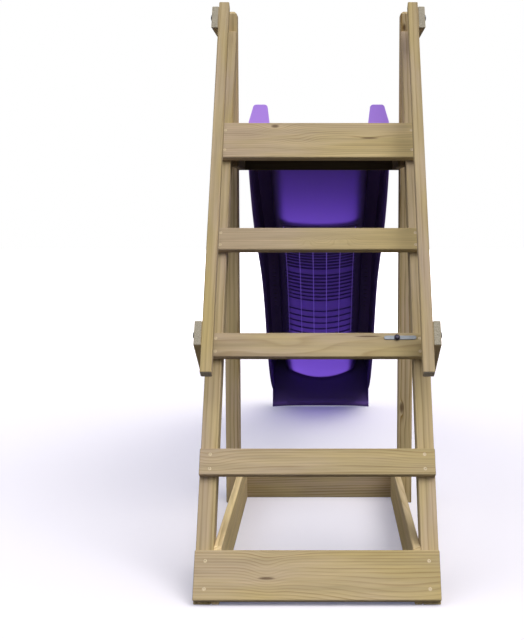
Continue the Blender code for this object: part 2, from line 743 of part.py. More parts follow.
def main():
    clear_scene()
    wood = material("treated_softwood", WOOD, 0.75)
    plastic = material("purple_plastic", PURPLE, 0.35)
    steel = material("zinc_steel", STEEL, 0.35, 1.0)
    dark_steel = material("dark_steel", DARK_STEEL, 0.45, 1.0)
    holes = Holes()
    ladder = build_ladder(wood, steel, holes)
    build_base(wood)
    posts = build_posts(wood)
    deck = build_deck(wood)
    build_rails(wood, steel, ladder, posts, holes)
    build_strap(steel, dark_steel, ladder["ladder_tread_2"], holes)
    chute = build_chute(plastic)
    take_in(chute, build_ribs(plastic))
    add_tongue(chute, deck[-1], steel, plastic, holes)
    holes.cut()


main()
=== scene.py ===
"""Garden slide: ladder, posts and deck in treated softwood, steel fixings and a purple wave chute.

+X is the user's right hand when climbing, +Y is the way down the chute and +Z is up. All lengths are metres.
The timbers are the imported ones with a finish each. The chute and the fixings are new surfaces, which stand
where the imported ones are.
"""

import math
from typing import NamedTuple

import bmesh
import bpy
import numpy as np
from bpy.props import FloatProperty, FloatVectorProperty, PointerProperty
from bpy.types import Operator, Panel, PropertyGroup
from mathutils import Matrix, Vector


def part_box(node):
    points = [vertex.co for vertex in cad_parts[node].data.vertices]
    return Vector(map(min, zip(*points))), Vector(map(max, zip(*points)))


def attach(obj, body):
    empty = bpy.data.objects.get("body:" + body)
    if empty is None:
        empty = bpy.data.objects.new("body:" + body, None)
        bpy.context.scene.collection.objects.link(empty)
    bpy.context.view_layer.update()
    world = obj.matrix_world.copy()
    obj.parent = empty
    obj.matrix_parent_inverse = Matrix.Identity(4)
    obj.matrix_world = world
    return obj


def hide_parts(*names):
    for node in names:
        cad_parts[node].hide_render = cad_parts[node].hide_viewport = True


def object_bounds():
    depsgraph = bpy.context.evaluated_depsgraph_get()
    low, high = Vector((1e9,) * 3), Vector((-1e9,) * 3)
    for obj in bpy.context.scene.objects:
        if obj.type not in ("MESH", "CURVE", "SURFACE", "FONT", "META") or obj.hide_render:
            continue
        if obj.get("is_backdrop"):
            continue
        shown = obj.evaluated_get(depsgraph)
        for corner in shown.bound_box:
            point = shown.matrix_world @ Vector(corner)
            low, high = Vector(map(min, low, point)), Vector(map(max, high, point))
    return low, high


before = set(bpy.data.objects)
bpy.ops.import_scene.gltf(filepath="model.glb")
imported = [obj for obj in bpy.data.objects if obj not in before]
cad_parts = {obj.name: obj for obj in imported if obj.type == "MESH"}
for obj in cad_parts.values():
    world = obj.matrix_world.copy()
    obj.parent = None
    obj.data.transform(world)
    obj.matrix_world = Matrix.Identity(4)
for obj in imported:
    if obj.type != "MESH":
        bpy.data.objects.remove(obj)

bl_info = {
    "name": "Garden Slide",
    "version": (1, 0, 0),
    "blender": (4, 5, 0),
    "location": "3D View > Sidebar > Garden Slide",
    "description": "Finishes the timber frame of a garden slide and builds its chute and fixings",
    "category": "Object",
}

CAD_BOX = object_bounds()
FIT_GAP = 0.0003  # between pieces that touch

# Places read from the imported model
POST_LOW, POST_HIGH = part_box("slide_post_right")
BEAM_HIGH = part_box("platform_front_beam")[1]
CHUTE_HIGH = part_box("slide_chute")[1]
DECK_TOP = BEAM_HIGH.z
CHUTE_START = BEAM_HIGH.y + FIT_GAP
CHUTE_END = CHUTE_HIGH.y

LADDER_TILT = math.radians(31.0)
UP_LADDER = Vector((0, math.sin(LADDER_TILT), math.cos(LADDER_TILT)))
LADDER_FRONT = Vector((0, -math.cos(LADDER_TILT), math.sin(LADDER_TILT)))
SIDES = (("left", -1), ("right", 1))


# Sizes and colours that can be set

def metres(label, use, default):
    return FloatProperty(name=label, description=use, default=default, unit="LENGTH")


def number(label, use, default):
    return FloatProperty(name=label, description=use, default=default)


def paint(label, use, default):
    return FloatVectorProperty(name=label, description=use, default=default, subtype="COLOR")


class TimberSettings(PropertyGroup):
    ring_width: metres("Ring width", "Usual distance between two growth rings", 0.0064)
    early_wood: paint("Early wood", "The pale part of a growth ring", (0.560, 0.440, 0.245))
    late_wood: paint("Late wood", "The dark line of a growth ring", (0.270, 0.165, 0.050))
    gold_tint: paint("Gold tint", "Yellow, treated parts", (0.525, 0.405, 0.165))
    pink_tint: paint("Pink tint", "Greyish pink streaks in the wood", (0.545, 0.420, 0.305))
    knot: paint("Knots", "The heart of a knot", (0.085, 0.040, 0.016))
    end_grain: paint("End grain", "The sawn ends", (0.47, 0.43, 0.34))
    roughness: number("Roughness", "Of the planed faces", 0.78)


class ChuteSettings(PropertyGroup):
    wall: metres("Wall", "Thickness of the plastic", 0.005)
    half_width: metres("Half width", "From the middle to a side's lower edge", 0.229)
    rim_outer: metres("Rim, outer", "From the middle to the outer corner of a rim", 0.213)
    rim_inner: metres("Rim, inner", "From the middle to the inner corner of a rim", 0.165)
    rim_round: metres("Rim round", "Radius of the rim's two corners", 0.011)
    bed_half_width: metres("Bed half width", "From the middle to the foot of a wall", 0.148)
    bed_corner: metres("Bed corner", "Radius between wall and bed", 0.022)
    rib_height: metres("Rib height", "Under the bed", 0.008)
    rib_width: metres("Rib width", "At a rib's tip", 0.0026)
    colour: paint("Colour", "Of the plastic", (0.35, 0.19, 0.76))
    # Painted shade: the deep colour darkens the chute's underside
    deep: paint("Deep colour", "Of the matt underside", (0.13, 0.080, 0.27))
    # Painted light: the pale colour lightens the upper end and the long ribs' tips, and the pale glow makes
    # them give off light
    pale: paint("Pale colour", "Of the thin upper end and the rubbed ribs", (0.55, 0.34, 0.95))
    painted_glow: paint("Pale glow", "Light that comes out of the pale parts", (0.10, 0.055, 0.32))
    glow: paint("Through colour", "Of light that passes the wall", (0.50, 0.34, 0.88))
    roughness: number("Roughness", "Of the moulded faces", 0.36)


class FixingSettings(PropertyGroup):
    screw_head: metres("Screw head", "Radius", 0.0048)
    screw_shank: metres("Screw shank", "Radius", 0.0025)
    screw_sink: metres("Screw sink", "Depth of the head under the surface", 0.0004)
    recess: metres("Recess", "Depth of the cross in the head", 0.0013)
    bolt_head: metres("Bolt head", "Radius", 0.0095)
    bolt_rise: metres("Bolt rise", "Height of the head", 0.0042)
    zinc: paint("Zinc", "Plated steel", (0.30, 0.33, 0.37))
    yellow_zinc: paint("Yellow zinc", "Passivated screws", (0.70, 0.58, 0.38))
    dark: paint("Dark", "Coated bolt head", (0.06, 0.055, 0.08))


class StageSettings(PropertyGroup):
    floor_size: metres("Floor size", "Side of the floor", 40.0)
    floor_colour: paint("Floor", "Colour of the floor", (0.94, 0.90, 0.92))
    lift: paint("Floor lift", "Light that the floor gives off near the slide", (0.055, 0.070, 0.125))
    key: number("Key light", "From the front right, in watts a square metre", 1.84)
    left: number("Left light", "From the left side", 1.0)
    right: number("Right light", "From the right side", 0.7)
    top: number("Top light", "From above", 0.45)
    ambient: number("Ambient", "Light from all round", 0.13)


class SlideSettings(PropertyGroup):
    timber: PointerProperty(type=TimberSettings)
    chute: PointerProperty(type=ChuteSettings)
    fixings: PointerProperty(type=FixingSettings)
    stage: PointerProperty(type=StageSettings)


# Shader expressions

class Socket:
    """One outlet of a node. Arithmetic on it adds Math nodes to its finish."""

    def __init__(self, finish, outlet):
        self.finish = finish
        self.outlet = outlet

    def maths(self, operation, *others, first=None):
        start = self if first is None else first
        settings = {"operation": operation}
        return self.finish.node("ShaderNodeMath", settings, dict(enumerate([start, *others])))

    def __add__(self, other):
        return self.maths("ADD", other)

    __radd__ = __add__

    def __sub__(self, other):
        return self.maths("SUBTRACT", other)

    def __rsub__(self, other):
        return self.maths("SUBTRACT", self, first=other)

    def __mul__(self, other):
        return self.maths("MULTIPLY", other)

    __rmul__ = __mul__

    def __truediv__(self, other):
        return self.maths("DIVIDE", other)

    def __rtruediv__(self, other):
        return self.maths("DIVIDE", self, first=other)

    def __pow__(self, other):
        return self.maths("POWER", other)

    def step(self, low, high, start=0.0, end=1.0):
        """Goes smoothly from start to end as the value goes from low to high."""
        settings = {"interpolation_type": "SMOOTHSTEP"}
        values = {0: self, 1: low, 2: high, 3: start, 4: end}
        return self.finish.node("ShaderNodeMapRange", settings, values)


class Finish:
    """A new material whose colours and values are written as expressions."""

    def __init__(self, name):
        self.material = bpy.data.materials.new(name)
        self.material.use_nodes = True
        self.tree = self.material.node_tree
        self.shader = self.tree.nodes["Principled BSDF"]

    def feed(self, socket, value):
        if isinstance(value, Socket):
            self.tree.links.new(value.outlet, socket)
        elif hasattr(socket.default_value, "__len__") and len(socket.default_value) == 4 and len(value) == 3:
            socket.default_value = (*value, 1.0)
        else:
            socket.default_value = value

    def node(self, kind, settings=None, values=None, outlet=0):
        """Adds a node: its settings come first, then the values or links of its sockets."""
        made = self.tree.nodes.new(kind)
        for key, value in (settings or {}).items():
            setattr(made, key, value)
        for key, value in (values or {}).items():
            self.feed(made.inputs[key], value)
        return Socket(self, made.outputs[outlet])

    def coordinates(self):
        return self.node("ShaderNodeTexCoord", outlet="Object")

    def axes(self, vector):
        """The x, y and z of a vector."""
        parts = self.node("ShaderNodeSeparateXYZ", None, {0: vector}).outlet.node
        return [Socket(self, outlet) for outlet in parts.outputs]

    def attribute(self, name):
        """A number that is kept with each point of the mesh."""
        return self.node("ShaderNodeAttribute", {"attribute_name": name}, outlet="Fac")

    def mix(self, share, one, other, blend="MIX"):
        """A colour between two, or one blended with the other."""
        settings = {"data_type": "RGBA", "blend_type": blend, "clamp_factor": True}
        return self.node("ShaderNodeMix", settings, {0: share, 6: one, 7: other}, outlet=2)

    def vector(self, operation, *values, outlet=0):
        return self.node("ShaderNodeVectorMath", {"operation": operation}, dict(enumerate(values)), outlet)

    def noise(self, place, stretch, detail=2.0, roughness=0.5, seed=0.0):
        """Smooth noise about 0.5, with a grain of stretch cells per metre along each axis."""
        moved = self.vector("MULTIPLY_ADD", place, stretch, (seed * 7.3, seed * 3.1, seed * 5.7))
        values = {"Vector": moved, "Scale": 1.0, "Detail": detail, "Roughness": roughness}
        return self.node("ShaderNodeTexNoise", None, values)

    def bump(self, height, distance, strength=1.0):
        values = {"Height": height, "Distance": distance, "Strength": strength}
        normal = self.node("ShaderNodeBump", None, values)
        self.feed(self.shader.inputs["Normal"], normal)

    def surface(self, **values):
        """Sets the shader's own sockets, named with underscores for spaces."""
        for key, value in values.items():
            self.feed(self.shader.inputs[key.replace("_", " ")], value)


# Surfaces

WELD = 1e-6  # points nearer than this are one
SMOOTH_ANGLE = 35.0  # degrees; sharper edges stay sharp


def grid_faces(rows, columns, closed=False):
    """Four-cornered faces between neighbours of a grid; closed joins the last column to the first."""
    steps = columns if closed else columns - 1
    row, column = np.meshgrid(np.arange(rows - 1), np.arange(steps), indexing="ij")
    after = (column + 1) % columns
    here, below = row * columns, (row + 1) * columns
    return np.stack([here + column, below + column, below + after, here + after], axis=-1).reshape(-1, 4)


def add_piece(name, points, faces, material, slot, smooth_angle=SMOOTH_ANGLE, ride=True, **values):
    """A mesh object from points (n, 3) and faces (m, 4).

    It is welded where points meet, and its faces are turned outwards. Each of the values is kept as an
    attribute, one number for each point.
    """
    mesh = bpy.data.meshes.new(name)
    mesh.from_pydata(points.tolist(), [], faces.tolist())
    for key, numbers in values.items():
        mesh.attributes.new(key, "FLOAT", "POINT").data.foreach_set("value", numbers.astype(np.float32))
    shape = bmesh.new()
    shape.from_mesh(mesh)
    bmesh.ops.remove_doubles(shape, verts=shape.verts, dist=WELD)
    bmesh.ops.dissolve_degenerate(shape, edges=shape.edges, dist=WELD / 10)
    bmesh.ops.recalc_face_normals(shape, faces=shape.faces)
    shape.to_mesh(mesh)
    shape.free()
    mesh.shade_smooth()
    mesh.set_sharp_from_angle(angle=math.radians(smooth_angle))
    piece = bpy.data.objects.new(name, mesh)
    bpy.context.scene.collection.objects.link(piece)
    mesh.materials.append(material)
    if ride:
        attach(piece, "root")
    return piece


def carried(base, side, down, profile):
    """A closed profile of (width, depth) carried along a path, with closed ends.

    Each point is the path's point, plus width times the side direction, plus depth times the down direction.
    The first and last rows are drawn together to their middles.
    """
    base, side, down = (np.asarray(value, float) for value in (base, side, down))
    width, depth = np.asarray(profile, float).T
    side = np.broadcast_to(side, base.shape)[:, None, :]
    down = np.broadcast_to(down, base.shape)[:, None, :]
    rows = base[:, None, :] + width[None, :, None] * side + depth[None, :, None] * down
    first, last = (np.broadcast_to(row.mean(axis=0), row.shape)[None] for row in (rows[0], rows[-1]))
    rows = np.concatenate([first, rows, last])
    return rows.reshape(-1, 3), grid_faces(*rows.shape[:2], closed=True)


def turned(profile, spokes, dent=None):
    """A closed shape turned about Z from (radius, height) pairs, top first; dent(x, y) lowers a point."""
    radius, height = np.asarray(profile, float).T
    angle = np.linspace(0, 2 * np.pi, spokes, endpoint=False)[None, :]
    x, y = (radius[:, None] * part(angle) for part in (np.cos, np.sin))
    z = height[:, None] + 0 * x
    if dent is not None:
        z = z - dent(x, y)
    return np.stack([x, y, z], axis=-1).reshape(-1, 3), grid_faces(len(profile), spokes, closed=True)


def placed(shape, place, direction):
    """A shape turned so that its +Z faces a direction, and moved to its place."""
    points, faces = shape
    turn = np.array(Vector((0, 0, 1)).rotation_difference(Vector(direction)).to_matrix())
    return points @ turn.T + np.array(place), faces


def packed_points(name):
    """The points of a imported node, (n, 3)."""
    return np.array([vertex.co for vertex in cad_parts[name].data.vertices])


def joined(shapes):
    """Several (points, faces) as one."""
    points, faces, first = [], [], 0
    for shape_points, shape_faces in shapes:
        points.append(shape_points)
        faces.append(shape_faces + first)
        first += len(shape_points)
    return np.concatenate(points), np.concatenate(faces)


# Timber

class Timber(NamedTuple):
    """How a timber lies and how it was sawn, in its own metres.

    x runs along the grain, y over its face and z out of it. Knots are (x, y, length, height, lift, heart):
    the rings rise by lift around a knot of that size, whose dark heart is that share of it. With lean the
    wood turns from pink to gold along x, a painted reflection of cool light from the left. Where open_shade
    is given, shade is painted shade on the faces that look in under the deck, and open_shade is the shade
    of the other faces.
    """

    lie: str
    pith: tuple = (0.02, -0.09)
    taper: float = 0.012
    sway: float = 0.010
    ring: float = 1.0
    gold: float = 0.35
    pink: float = 0.35
    shade: float = 1.0
    knots: tuple = ()
    contrast: float = 1.0
    lean: float = 0.0
    open_shade: float = 0.0


# Directions of a timber's own x, along the grain, of its y, over the face that shows most, and of its sawn
# ends, where they don't look like the rest
LIES = {
    "tread": ((1, 0, 0), UP_LADDER, (1, 0, 0)),
    "stringer": (UP_LADDER, (-1, 0, 0), None),
    "rail": (UP_LADDER, (-1, 0, 0), UP_LADDER),
    "post": ((0, 0, 1), (-1, 0, 0), None),
    "runner": ((0, 1, 0), (0, 0, 1), None),
    "level": ((1, 0, 0), (0, 0, 1), (1, 0, 0)),
    "deck": ((1, 0, 0), (0, 1, 0), (1, 0, 0)),
    "top_arm": ((0, 1, 0), (0, 0, 1), LADDER_FRONT),
    "lower_arm": (LADDER_FRONT, UP_LADDER, LADDER_FRONT),
}

# The wood of each timber is seeded by its place in this table
TIMBERS = {
    "kickboard": Timber(
        "tread", (-0.16, -0.08), taper=0.002, sway=0.0025, gold=0.8, pink=0.55, lean=0.15, shade=1.03,
        knots=((-0.123, 0.010, 0.040, 0.045, 0.014, 0.0), (-0.123, -0.008, 0.022, 0.0038, 0.0, 1.0),
               (-0.085, 0.062, 0.050, 0.016, 0.014, 0.0), (0.22, -0.060, 0.22, 0.055, 0.030, 0.0)),
    ),
    "ladder_tread_1": Timber(
        "tread", (-0.10, -0.06), taper=0.010, sway=0.003, gold=0.5, pink=0.7, lean=0.25,
        knots=((0.28, 0.01, 0.10, 0.03, 0.012, 0.0), (-0.27, 0.0, 0.05, 0.03, 0.010, 0.0)),
    ),
    "ladder_tread_2": Timber(
        "tread", (-0.035, -0.050), taper=0.045, sway=0.006, ring=2.4,
        gold=0.55, pink=0.9, contrast=0.6, lean=0.15,
        knots=((-0.06, -0.004, 0.10, 0.025, 0.016, 0.0), (0.135, 0.024, 0.055, 0.004, -0.004, 0.7)),
    ),
    "ladder_tread_3": Timber(
        "tread", (0.12, -0.05), taper=0.006, sway=0.003, gold=0.6, pink=0.6, lean=0.4, contrast=0.7,
        knots=((-0.030, -0.006, 0.018, 0.014, 0.016, 0.0), (0.052, 0.0, 0.022, 0.018, 0.018, 0.0),
               (0.078, 0.0, 0.022, 0.018, 0.018, 0.0)),
    ),
    "platform_rear_board": Timber(
        "tread", (-0.14, -0.05), taper=0.010, sway=0.006, gold=0.6, pink=0.8, lean=0.22, shade=1.09,
        knots=((-0.128, 0.040, 0.050, 0.030, 0.020, 0.0), (-0.128, 0.048, 0.016, 0.008, 0.0, 0.8),
               (-0.06, -0.01, 0.05, 0.030, 0.016, 0.0), (0.15, 0.006, 0.080, 0.010, 0.008, 0.35)),
    ),
    "ladder_stringer_left": Timber(
        "stringer", (0.07, -0.05), taper=0.004, sway=0.003, ring=1.7,
        gold=0.8, pink=1.0, contrast=0.65,
    ),
    "ladder_stringer_right": Timber(
        "stringer", (-0.07, -0.05), taper=0.004, sway=0.003, ring=1.7,
        gold=0.5, pink=1.0, contrast=0.65, shade=1.05,
    ),
    "handrail_left": Timber(
        "rail", (0.06, -0.04), taper=0.003, sway=0.003, ring=1.5, gold=0.9, pink=0.9, contrast=0.6,
    ),
    "handrail_right": Timber(
        "rail", (-0.06, -0.04), taper=0.003, sway=0.003, ring=1.5, gold=0.8, pink=0.9, contrast=0.7,
    ),
    "slide_post_left": Timber(
        "post", (0.07, -0.06), taper=0.003, sway=0.003, ring=1.3,
        gold=0.4, pink=0.9, contrast=1.4, shade=1.20,
    ),
    "slide_post_right": Timber(
        "post", (-0.06, -0.05), taper=0.004, sway=0.004, ring=1.3,
        gold=0.6, pink=0.7, contrast=2.2, shade=1.20,
        knots=((-0.471, 0.011, 0.018, 0.0065, 0.008, 1.2), (-0.50, 0.004, 0.030, 0.009, 0.005, 0.0),
               (0.735, 0.010, 0.016, 0.006, 0.006, 0.8)),
    ),
    # Painted light: the runners' shade is raised, the left one's most, to stand in for light on their inner
    # faces
    "base_runner_left": Timber("runner", (-0.12, 0.06), sway=0.004, shade=1.70),
    "base_runner_right": Timber("runner", (-0.12, 0.07), sway=0.004, shade=1.2),
    "base_crossbar": Timber("level", (-0.12, -0.06), sway=0.004, pink=1.0, contrast=1.4, shade=1.12),
    # Painted shade: the bearers and the front beam are dark on the faces that look in under the deck
    "platform_bearer_left": Timber("runner", shade=0.45, open_shade=0.9),
    "platform_bearer_right": Timber("runner", shade=0.45, open_shade=0.9),
    "platform_front_beam": Timber("level", shade=0.14, open_shade=0.9),
    "deck_board_1": Timber("deck", (0.08, -0.05), sway=0.005),
    "deck_board_2": Timber("deck", (-0.09, -0.06), sway=0.005),
    "deck_board_3": Timber("deck", (0.07, -0.07), sway=0.005),
    "top_arm_left": Timber("top_arm", (0.07, -0.05), sway=0.004),
    "top_arm_right": Timber("top_arm", (0.06, -0.06), sway=0.004),
    "lower_arm_left": Timber("lower_arm", (0.07, -0.05), sway=0.004),
    "lower_arm_right": Timber("lower_arm", (0.06, -0.06), sway=0.004),
}


# Noises of the wood: cells per metre along x, y and z, detail, roughness and how far its seed is moved
NOISES = {
    "sway_y": ((1.8, 7, 7), 2, 0.5, 0),
    "sway_z": ((2.2, 8, 8), 2, 0.5, 40),
    "bend": ((4, 22, 22), 3, 0.5, 1),
    "fade": ((5, 24, 24), 2, 0.5, 6),
    "fibre": ((14, 700, 700), 3, 0.7, 2),
    "streak": ((2.5, 60, 60), 3, 0.6, 3),
    "thread": ((6.0, 240, 240), 2, 0.6, 7),
    "pink_cloud": ((4.0, 18, 18), 2, 0.5, 4),
    "gold_cloud": ((3.0, 15, 15), 2, 0.5, 5),
    "speck": ((420, 420, 420), 2, 0.7, 8),
}
SWAY_GAIN = 4.0  # a noise stays near its middle, so what it moves is multiplied
RING_BEND = 0.55  # how far slow noise moves a ring, in rings
LATE_POWER = 3.6  # the higher it is, the narrower a ring's dark line
LATE_END = 0.88  # share of a ring where its dark line starts to end
FAINTEST_RING = 0.35  # strength of a ring, to which chance adds up to 1
FADE_LEAST = 0.30  # how much of its strength a ring keeps where it fades
KNOT_EDGES = (0.05, 1.3)  # where a knot's heart starts to fade and where it ends, as squares of its size
KNOT_FIBRE, KNOT_LEAST = 0.8, 0.35  # strength of a knot's heart: what fibres add, and the least it has
# Lean paints a reflection of cool light from the left: the left ends pinker and greyer, the right ends more
# golden
LEAN_GAIN = 3.0
STREAK_SHARE, THREAD_SHARE, FIBRE_SHARE, PLAIN_SHARE = 0.57, 0.27, 0.20, 0.38  # of the wood's brightness
END_SHARE = 0.9  # of the end grain's colour over the wood's
END_DEPTHS = (0.0016, 0.0004)  # under a sawn end, where its look starts and where it is whole
SPECK_SHADE = 0.55
PAINTED_SHADE_DEPTHS = (0.002, 0.006)  # behind a face under the deck, where its painted shade ends
WOOD_RELIEF = 0.0006


def scaled(colour, factor):
    return tuple(factor * part for part in colour)


def deck_painted_shade(finish, timber, low, high):
    """The painted shade of a timber under the deck: it goes to open_shade just behind the face that looks
    in.
    """
    x, y, _ = finish.axes(finish.coordinates())
    depth = y - low.y if timber.lie == "level" else x.maths("ABSOLUTE") - min(abs(low.x), abs(high.x))
    return depth.step(*PAINTED_SHADE_DEPTHS, timber.shade, timber.open_shade)


def end_grain(finish, name, direction, colour, speck, settings):
    """The colour with speckled end grain over it, at both ends of the timber along a direction."""
    reach = packed_points(name) @ np.array(direction)
    half = np.ptp(reach) / 2
    way = finish.vector("DOT_PRODUCT", finish.coordinates(), tuple(direction), outlet=1)
    off_middle = (way - (reach.min() + reach.max()) / 2).maths("ABSOLUTE")
    end = off_middle.step(*(half - depth for depth in END_DEPTHS))
    sawn = finish.mix(speck.step(0.34, 0.62), scaled(settings.end_grain, SPECK_SHADE), settings.end_grain)
    return finish.mix(end * END_SHARE, colour, sawn)


def wood(name, timber, seed, settings):
    """A softwood finish in the timber's own axes.

    The rings are distances from a pith beside the board, bent by slow noise and by the knots. Each ring
    darkens from early to late wood and ends sharply.
    """
    finish = Finish(f"{name}_wood")
    low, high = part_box(name)
    along, over, ends = LIES[timber.lie]
    along, over = Vector(along), Vector(over)
    turn = Matrix((along, over, along.cross(over))).transposed().to_euler()
    values = {"Vector": finish.coordinates(), "Location": tuple((low + high) / 2), "Rotation": tuple(turn)}
    place = finish.node("ShaderNodeMapping", {"vector_type": "TEXTURE"}, values)
    x, y, z = finish.axes(place)

    def noise(kind):
        stretch, detail, roughness, shift = NOISES[kind]
        return finish.noise(place, stretch, detail, roughness, seed + shift)

    sway = timber.sway * SWAY_GAIN
    from_pith_y = y - timber.pith[0] + (noise("sway_y") - 0.5) * sway
    from_pith_z = z - timber.pith[1] + (noise("sway_z") - 0.5) * sway
    radius = (from_pith_y * from_pith_y + from_pith_z * from_pith_z) ** 0.5 - x * timber.taper
    core = None
    for knot_x, knot_y, length, height, lift, heart in timber.knots:
        off_x, off_y = (x - knot_x) / length, (y - knot_y) / height
        spread = off_x * off_x + off_y * off_y
        radius = radius + (0 - spread).maths("EXPONENT") * lift
        if heart:
            dark = spread.step(*(edge * heart**2 for edge in KNOT_EDGES), 1.0, 0.0)
            core = dark if core is None else core.maths("MAXIMUM", dark)

    phase = radius / (settings.ring_width * timber.ring) + noise("bend") * RING_BEND
    part = phase.maths("FRACT")
    values = {"W": phase.maths("FLOOR") + seed}
    chance = finish.node("ShaderNodeTexWhiteNoise", {"noise_dimensions": "1D"}, values)
    line = part ** LATE_POWER * part.step(LATE_END, 1.0, 1.0, 0.0)
    late = line * (chance + FAINTEST_RING) * noise("fade").step(0.28, 0.62, FADE_LEAST, 1.0)

    # lean: painted reflection of cool light from the left, along x
    fibre, streak, lean = noise("fibre"), noise("streak"), x * (timber.lean * LEAN_GAIN)
    pink = (noise("pink_cloud") - lean).step(0.32, 0.72) * timber.pink
    gold = (noise("gold_cloud") + lean).step(0.34, 0.74) * timber.gold
    colour = finish.mix(pink, settings.early_wood, settings.pink_tint)
    colour = finish.mix(gold, colour, settings.gold_tint)
    colour = finish.mix(late * timber.contrast, colour, settings.late_wood)
    if core is not None:
        colour = finish.mix(core * (fibre * KNOT_FIBRE + KNOT_LEAST), colour, settings.knot)
    # Painted shade under the deck, where open_shade is given
    shade = deck_painted_shade(finish, timber, low, high) if timber.open_shade else timber.shade
    mottle = streak * STREAK_SHARE + noise("thread") * THREAD_SHARE + fibre * FIBRE_SHARE + PLAIN_SHARE
    brightness = mottle * shade
    grey = finish.node("ShaderNodeCombineColor", None, {0: brightness, 1: brightness, 2: brightness})
    colour = finish.mix(1.0, colour, grey, "MULTIPLY")
    if ends:
        colour = end_grain(finish, name, ends, colour, noise("speck"), settings)
    rough = settings.roughness + (fibre - 0.5) * 0.2
    finish.surface(Base_Color=colour, Roughness=rough, Specular_IOR_Level=0.35)
    finish.bump(late * 0.6 + fibre * 0.8 + streak * 0.4, WOOD_RELIEF, 0.5)
    return finish.material


class GARDENSLIDE_OT_finish_timbers(Operator):
    """Gives each packed timber its own softwood finish"""

    bl_idname = "garden_slide.finish_timbers"
    bl_label = "Finish Timbers"

    def execute(self, context):
        settings = context.scene.garden_slide.timber
        for seed, (name, timber) in enumerate(TIMBERS.items(), 1):
            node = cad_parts[name]
            node.data.materials.clear()
            node.data.materials.append(wood(name, timber, seed, settings))
        return {"FINISHED"}


# Chute

CHUTE_FINISH = "moulded_plastic"
CHUTE_SLOT = "chute_plastic"
RUN_SHARE = 1600 / 1636  # of the chute's length, before the nose rolls over
EXIT_HEIGHT = 0.155  # underside of the bed at the end of the run
BED_ABOVE_EDGE_TOP = 0.105
BED_ABOVE_EDGE = 0.064
SETTLE_SHARE = 0.25  # of the run, over which the bed settles between the sides
SIDE_HEIGHT_TOP = 0.197
SIDE_HEIGHT_EXIT = 0.160
SIDE_KNEE = 0.055  # from the rim down to where a side has its full width
BED_DISH_TOP = 0.004
BED_DISH_EXIT = 0.034
# Slope of the bed in degrees at shares of the run: steep, over the hump, steep again, run-out
SLOPE_SHARES = (0.0, 0.08, 0.18, 0.30, 0.42, 0.52, 0.62, 0.72, 0.82, 0.92, 1.0)
SLOPES = (50.0, 40.2, 31.0, 22.0, 25.0, 36.9, 45.6, 40.1, 30.3, 20.6, 15.4)
PATH_STEPS = 800
# The bead along a side's lower edge: heights over the edge and how far inside the half width
BEAD_RISE = np.array([0.0, 0.003, 0.008, 0.011])
BEAD_IN = np.array([0.0008, 0.0, 0.0, 0.0022])
# Points of the section: shares of the way from bead to knee and from knee to rim, a quarter turn, the bed
SIDE_PARTS = np.array([0.2, 0.4, 0.6, 0.8, 0.94, 1.0])
KNEE_PARTS = np.array([0.08, 0.35, 0.7])
QUARTER = np.radians(np.linspace(4, 90, 8))
BED_PARTS = np.linspace(1.0, 0.0, 15)[1:]
RUN_ROWS, NOSE_ROWS, PLATE_ROWS = 170, 12, 14
FOOT_RETURN = 0.018  # from the end plate back to where the foot starts to flare
FOOT_ARCH = 0.005
ARCH_POWER = 4  # the higher it is, the squarer the arch
FLARE_HEIGHT = 0.030  # over the run's lowest edge, from where the foot flares downwards
LIP_HEIGHT = 0.019  # of the foot's rounded ridge over its lower edge
LIP_RADIUS = 0.007
LIP_DEPTH = 0.004

RUN_LENGTH = (CHUTE_END - CHUTE_START) * RUN_SHARE
NOSE_LENGTH = CHUTE_END - CHUTE_START - RUN_LENGTH
FOOT_HALF_WIDTH = CHUTE_HIGH.x


def bed_underside(shares):
    """Height of the bed's underside in the middle: the slopes added up and fitted to the run's two ends."""
    steps = np.linspace(0.0, 1.0, PATH_STEPS + 1)
    slope = np.tan(np.radians(np.interp(steps, SLOPE_SHARES, SLOPES)))
    fallen = np.concatenate([[0.0], np.cumsum((slope[1:] + slope[:-1]) / 2)])
    start = DECK_TOP + FIT_GAP
    return start - (start - EXIT_HEIGHT) * np.interp(shares, steps, fallen / fallen[-1])


def along_bed(lengths):
    """(y, z, slope, share) on the bed's underside at distances along it from its top."""
    shares = np.linspace(0.0, 1.0, PATH_STEPS + 1)
    y = CHUTE_START + RUN_LENGTH * shares
    z = bed_underside(shares)
    walked = np.concatenate([[0.0], np.cumsum(np.hypot(np.diff(y), np.diff(z)))])
    slope = np.arctan2(-np.gradient(z), np.gradient(y))
    return tuple(np.interp(lengths, walked, table) for table in (y, z, slope, shares))


def dish(shares):
    """How much lower the bed is at its middle than at its edges."""
    return BED_DISH_TOP + (BED_DISH_EXIT - BED_DISH_TOP) * shares


def side_heights(under, shares):
    """Heights of a side's lower edge and rim, from the bed's underside, which settles between the sides."""
    settle = np.clip(1.0 - shares / SETTLE_SHARE, 0.0, None)
    edge = under - BED_ABOVE_EDGE - (BED_ABOVE_EDGE_TOP - BED_ABOVE_EDGE) * settle
    return edge, edge + SIDE_HEIGHT_TOP + (SIDE_HEIGHT_EXIT - SIDE_HEIGHT_TOP) * shares


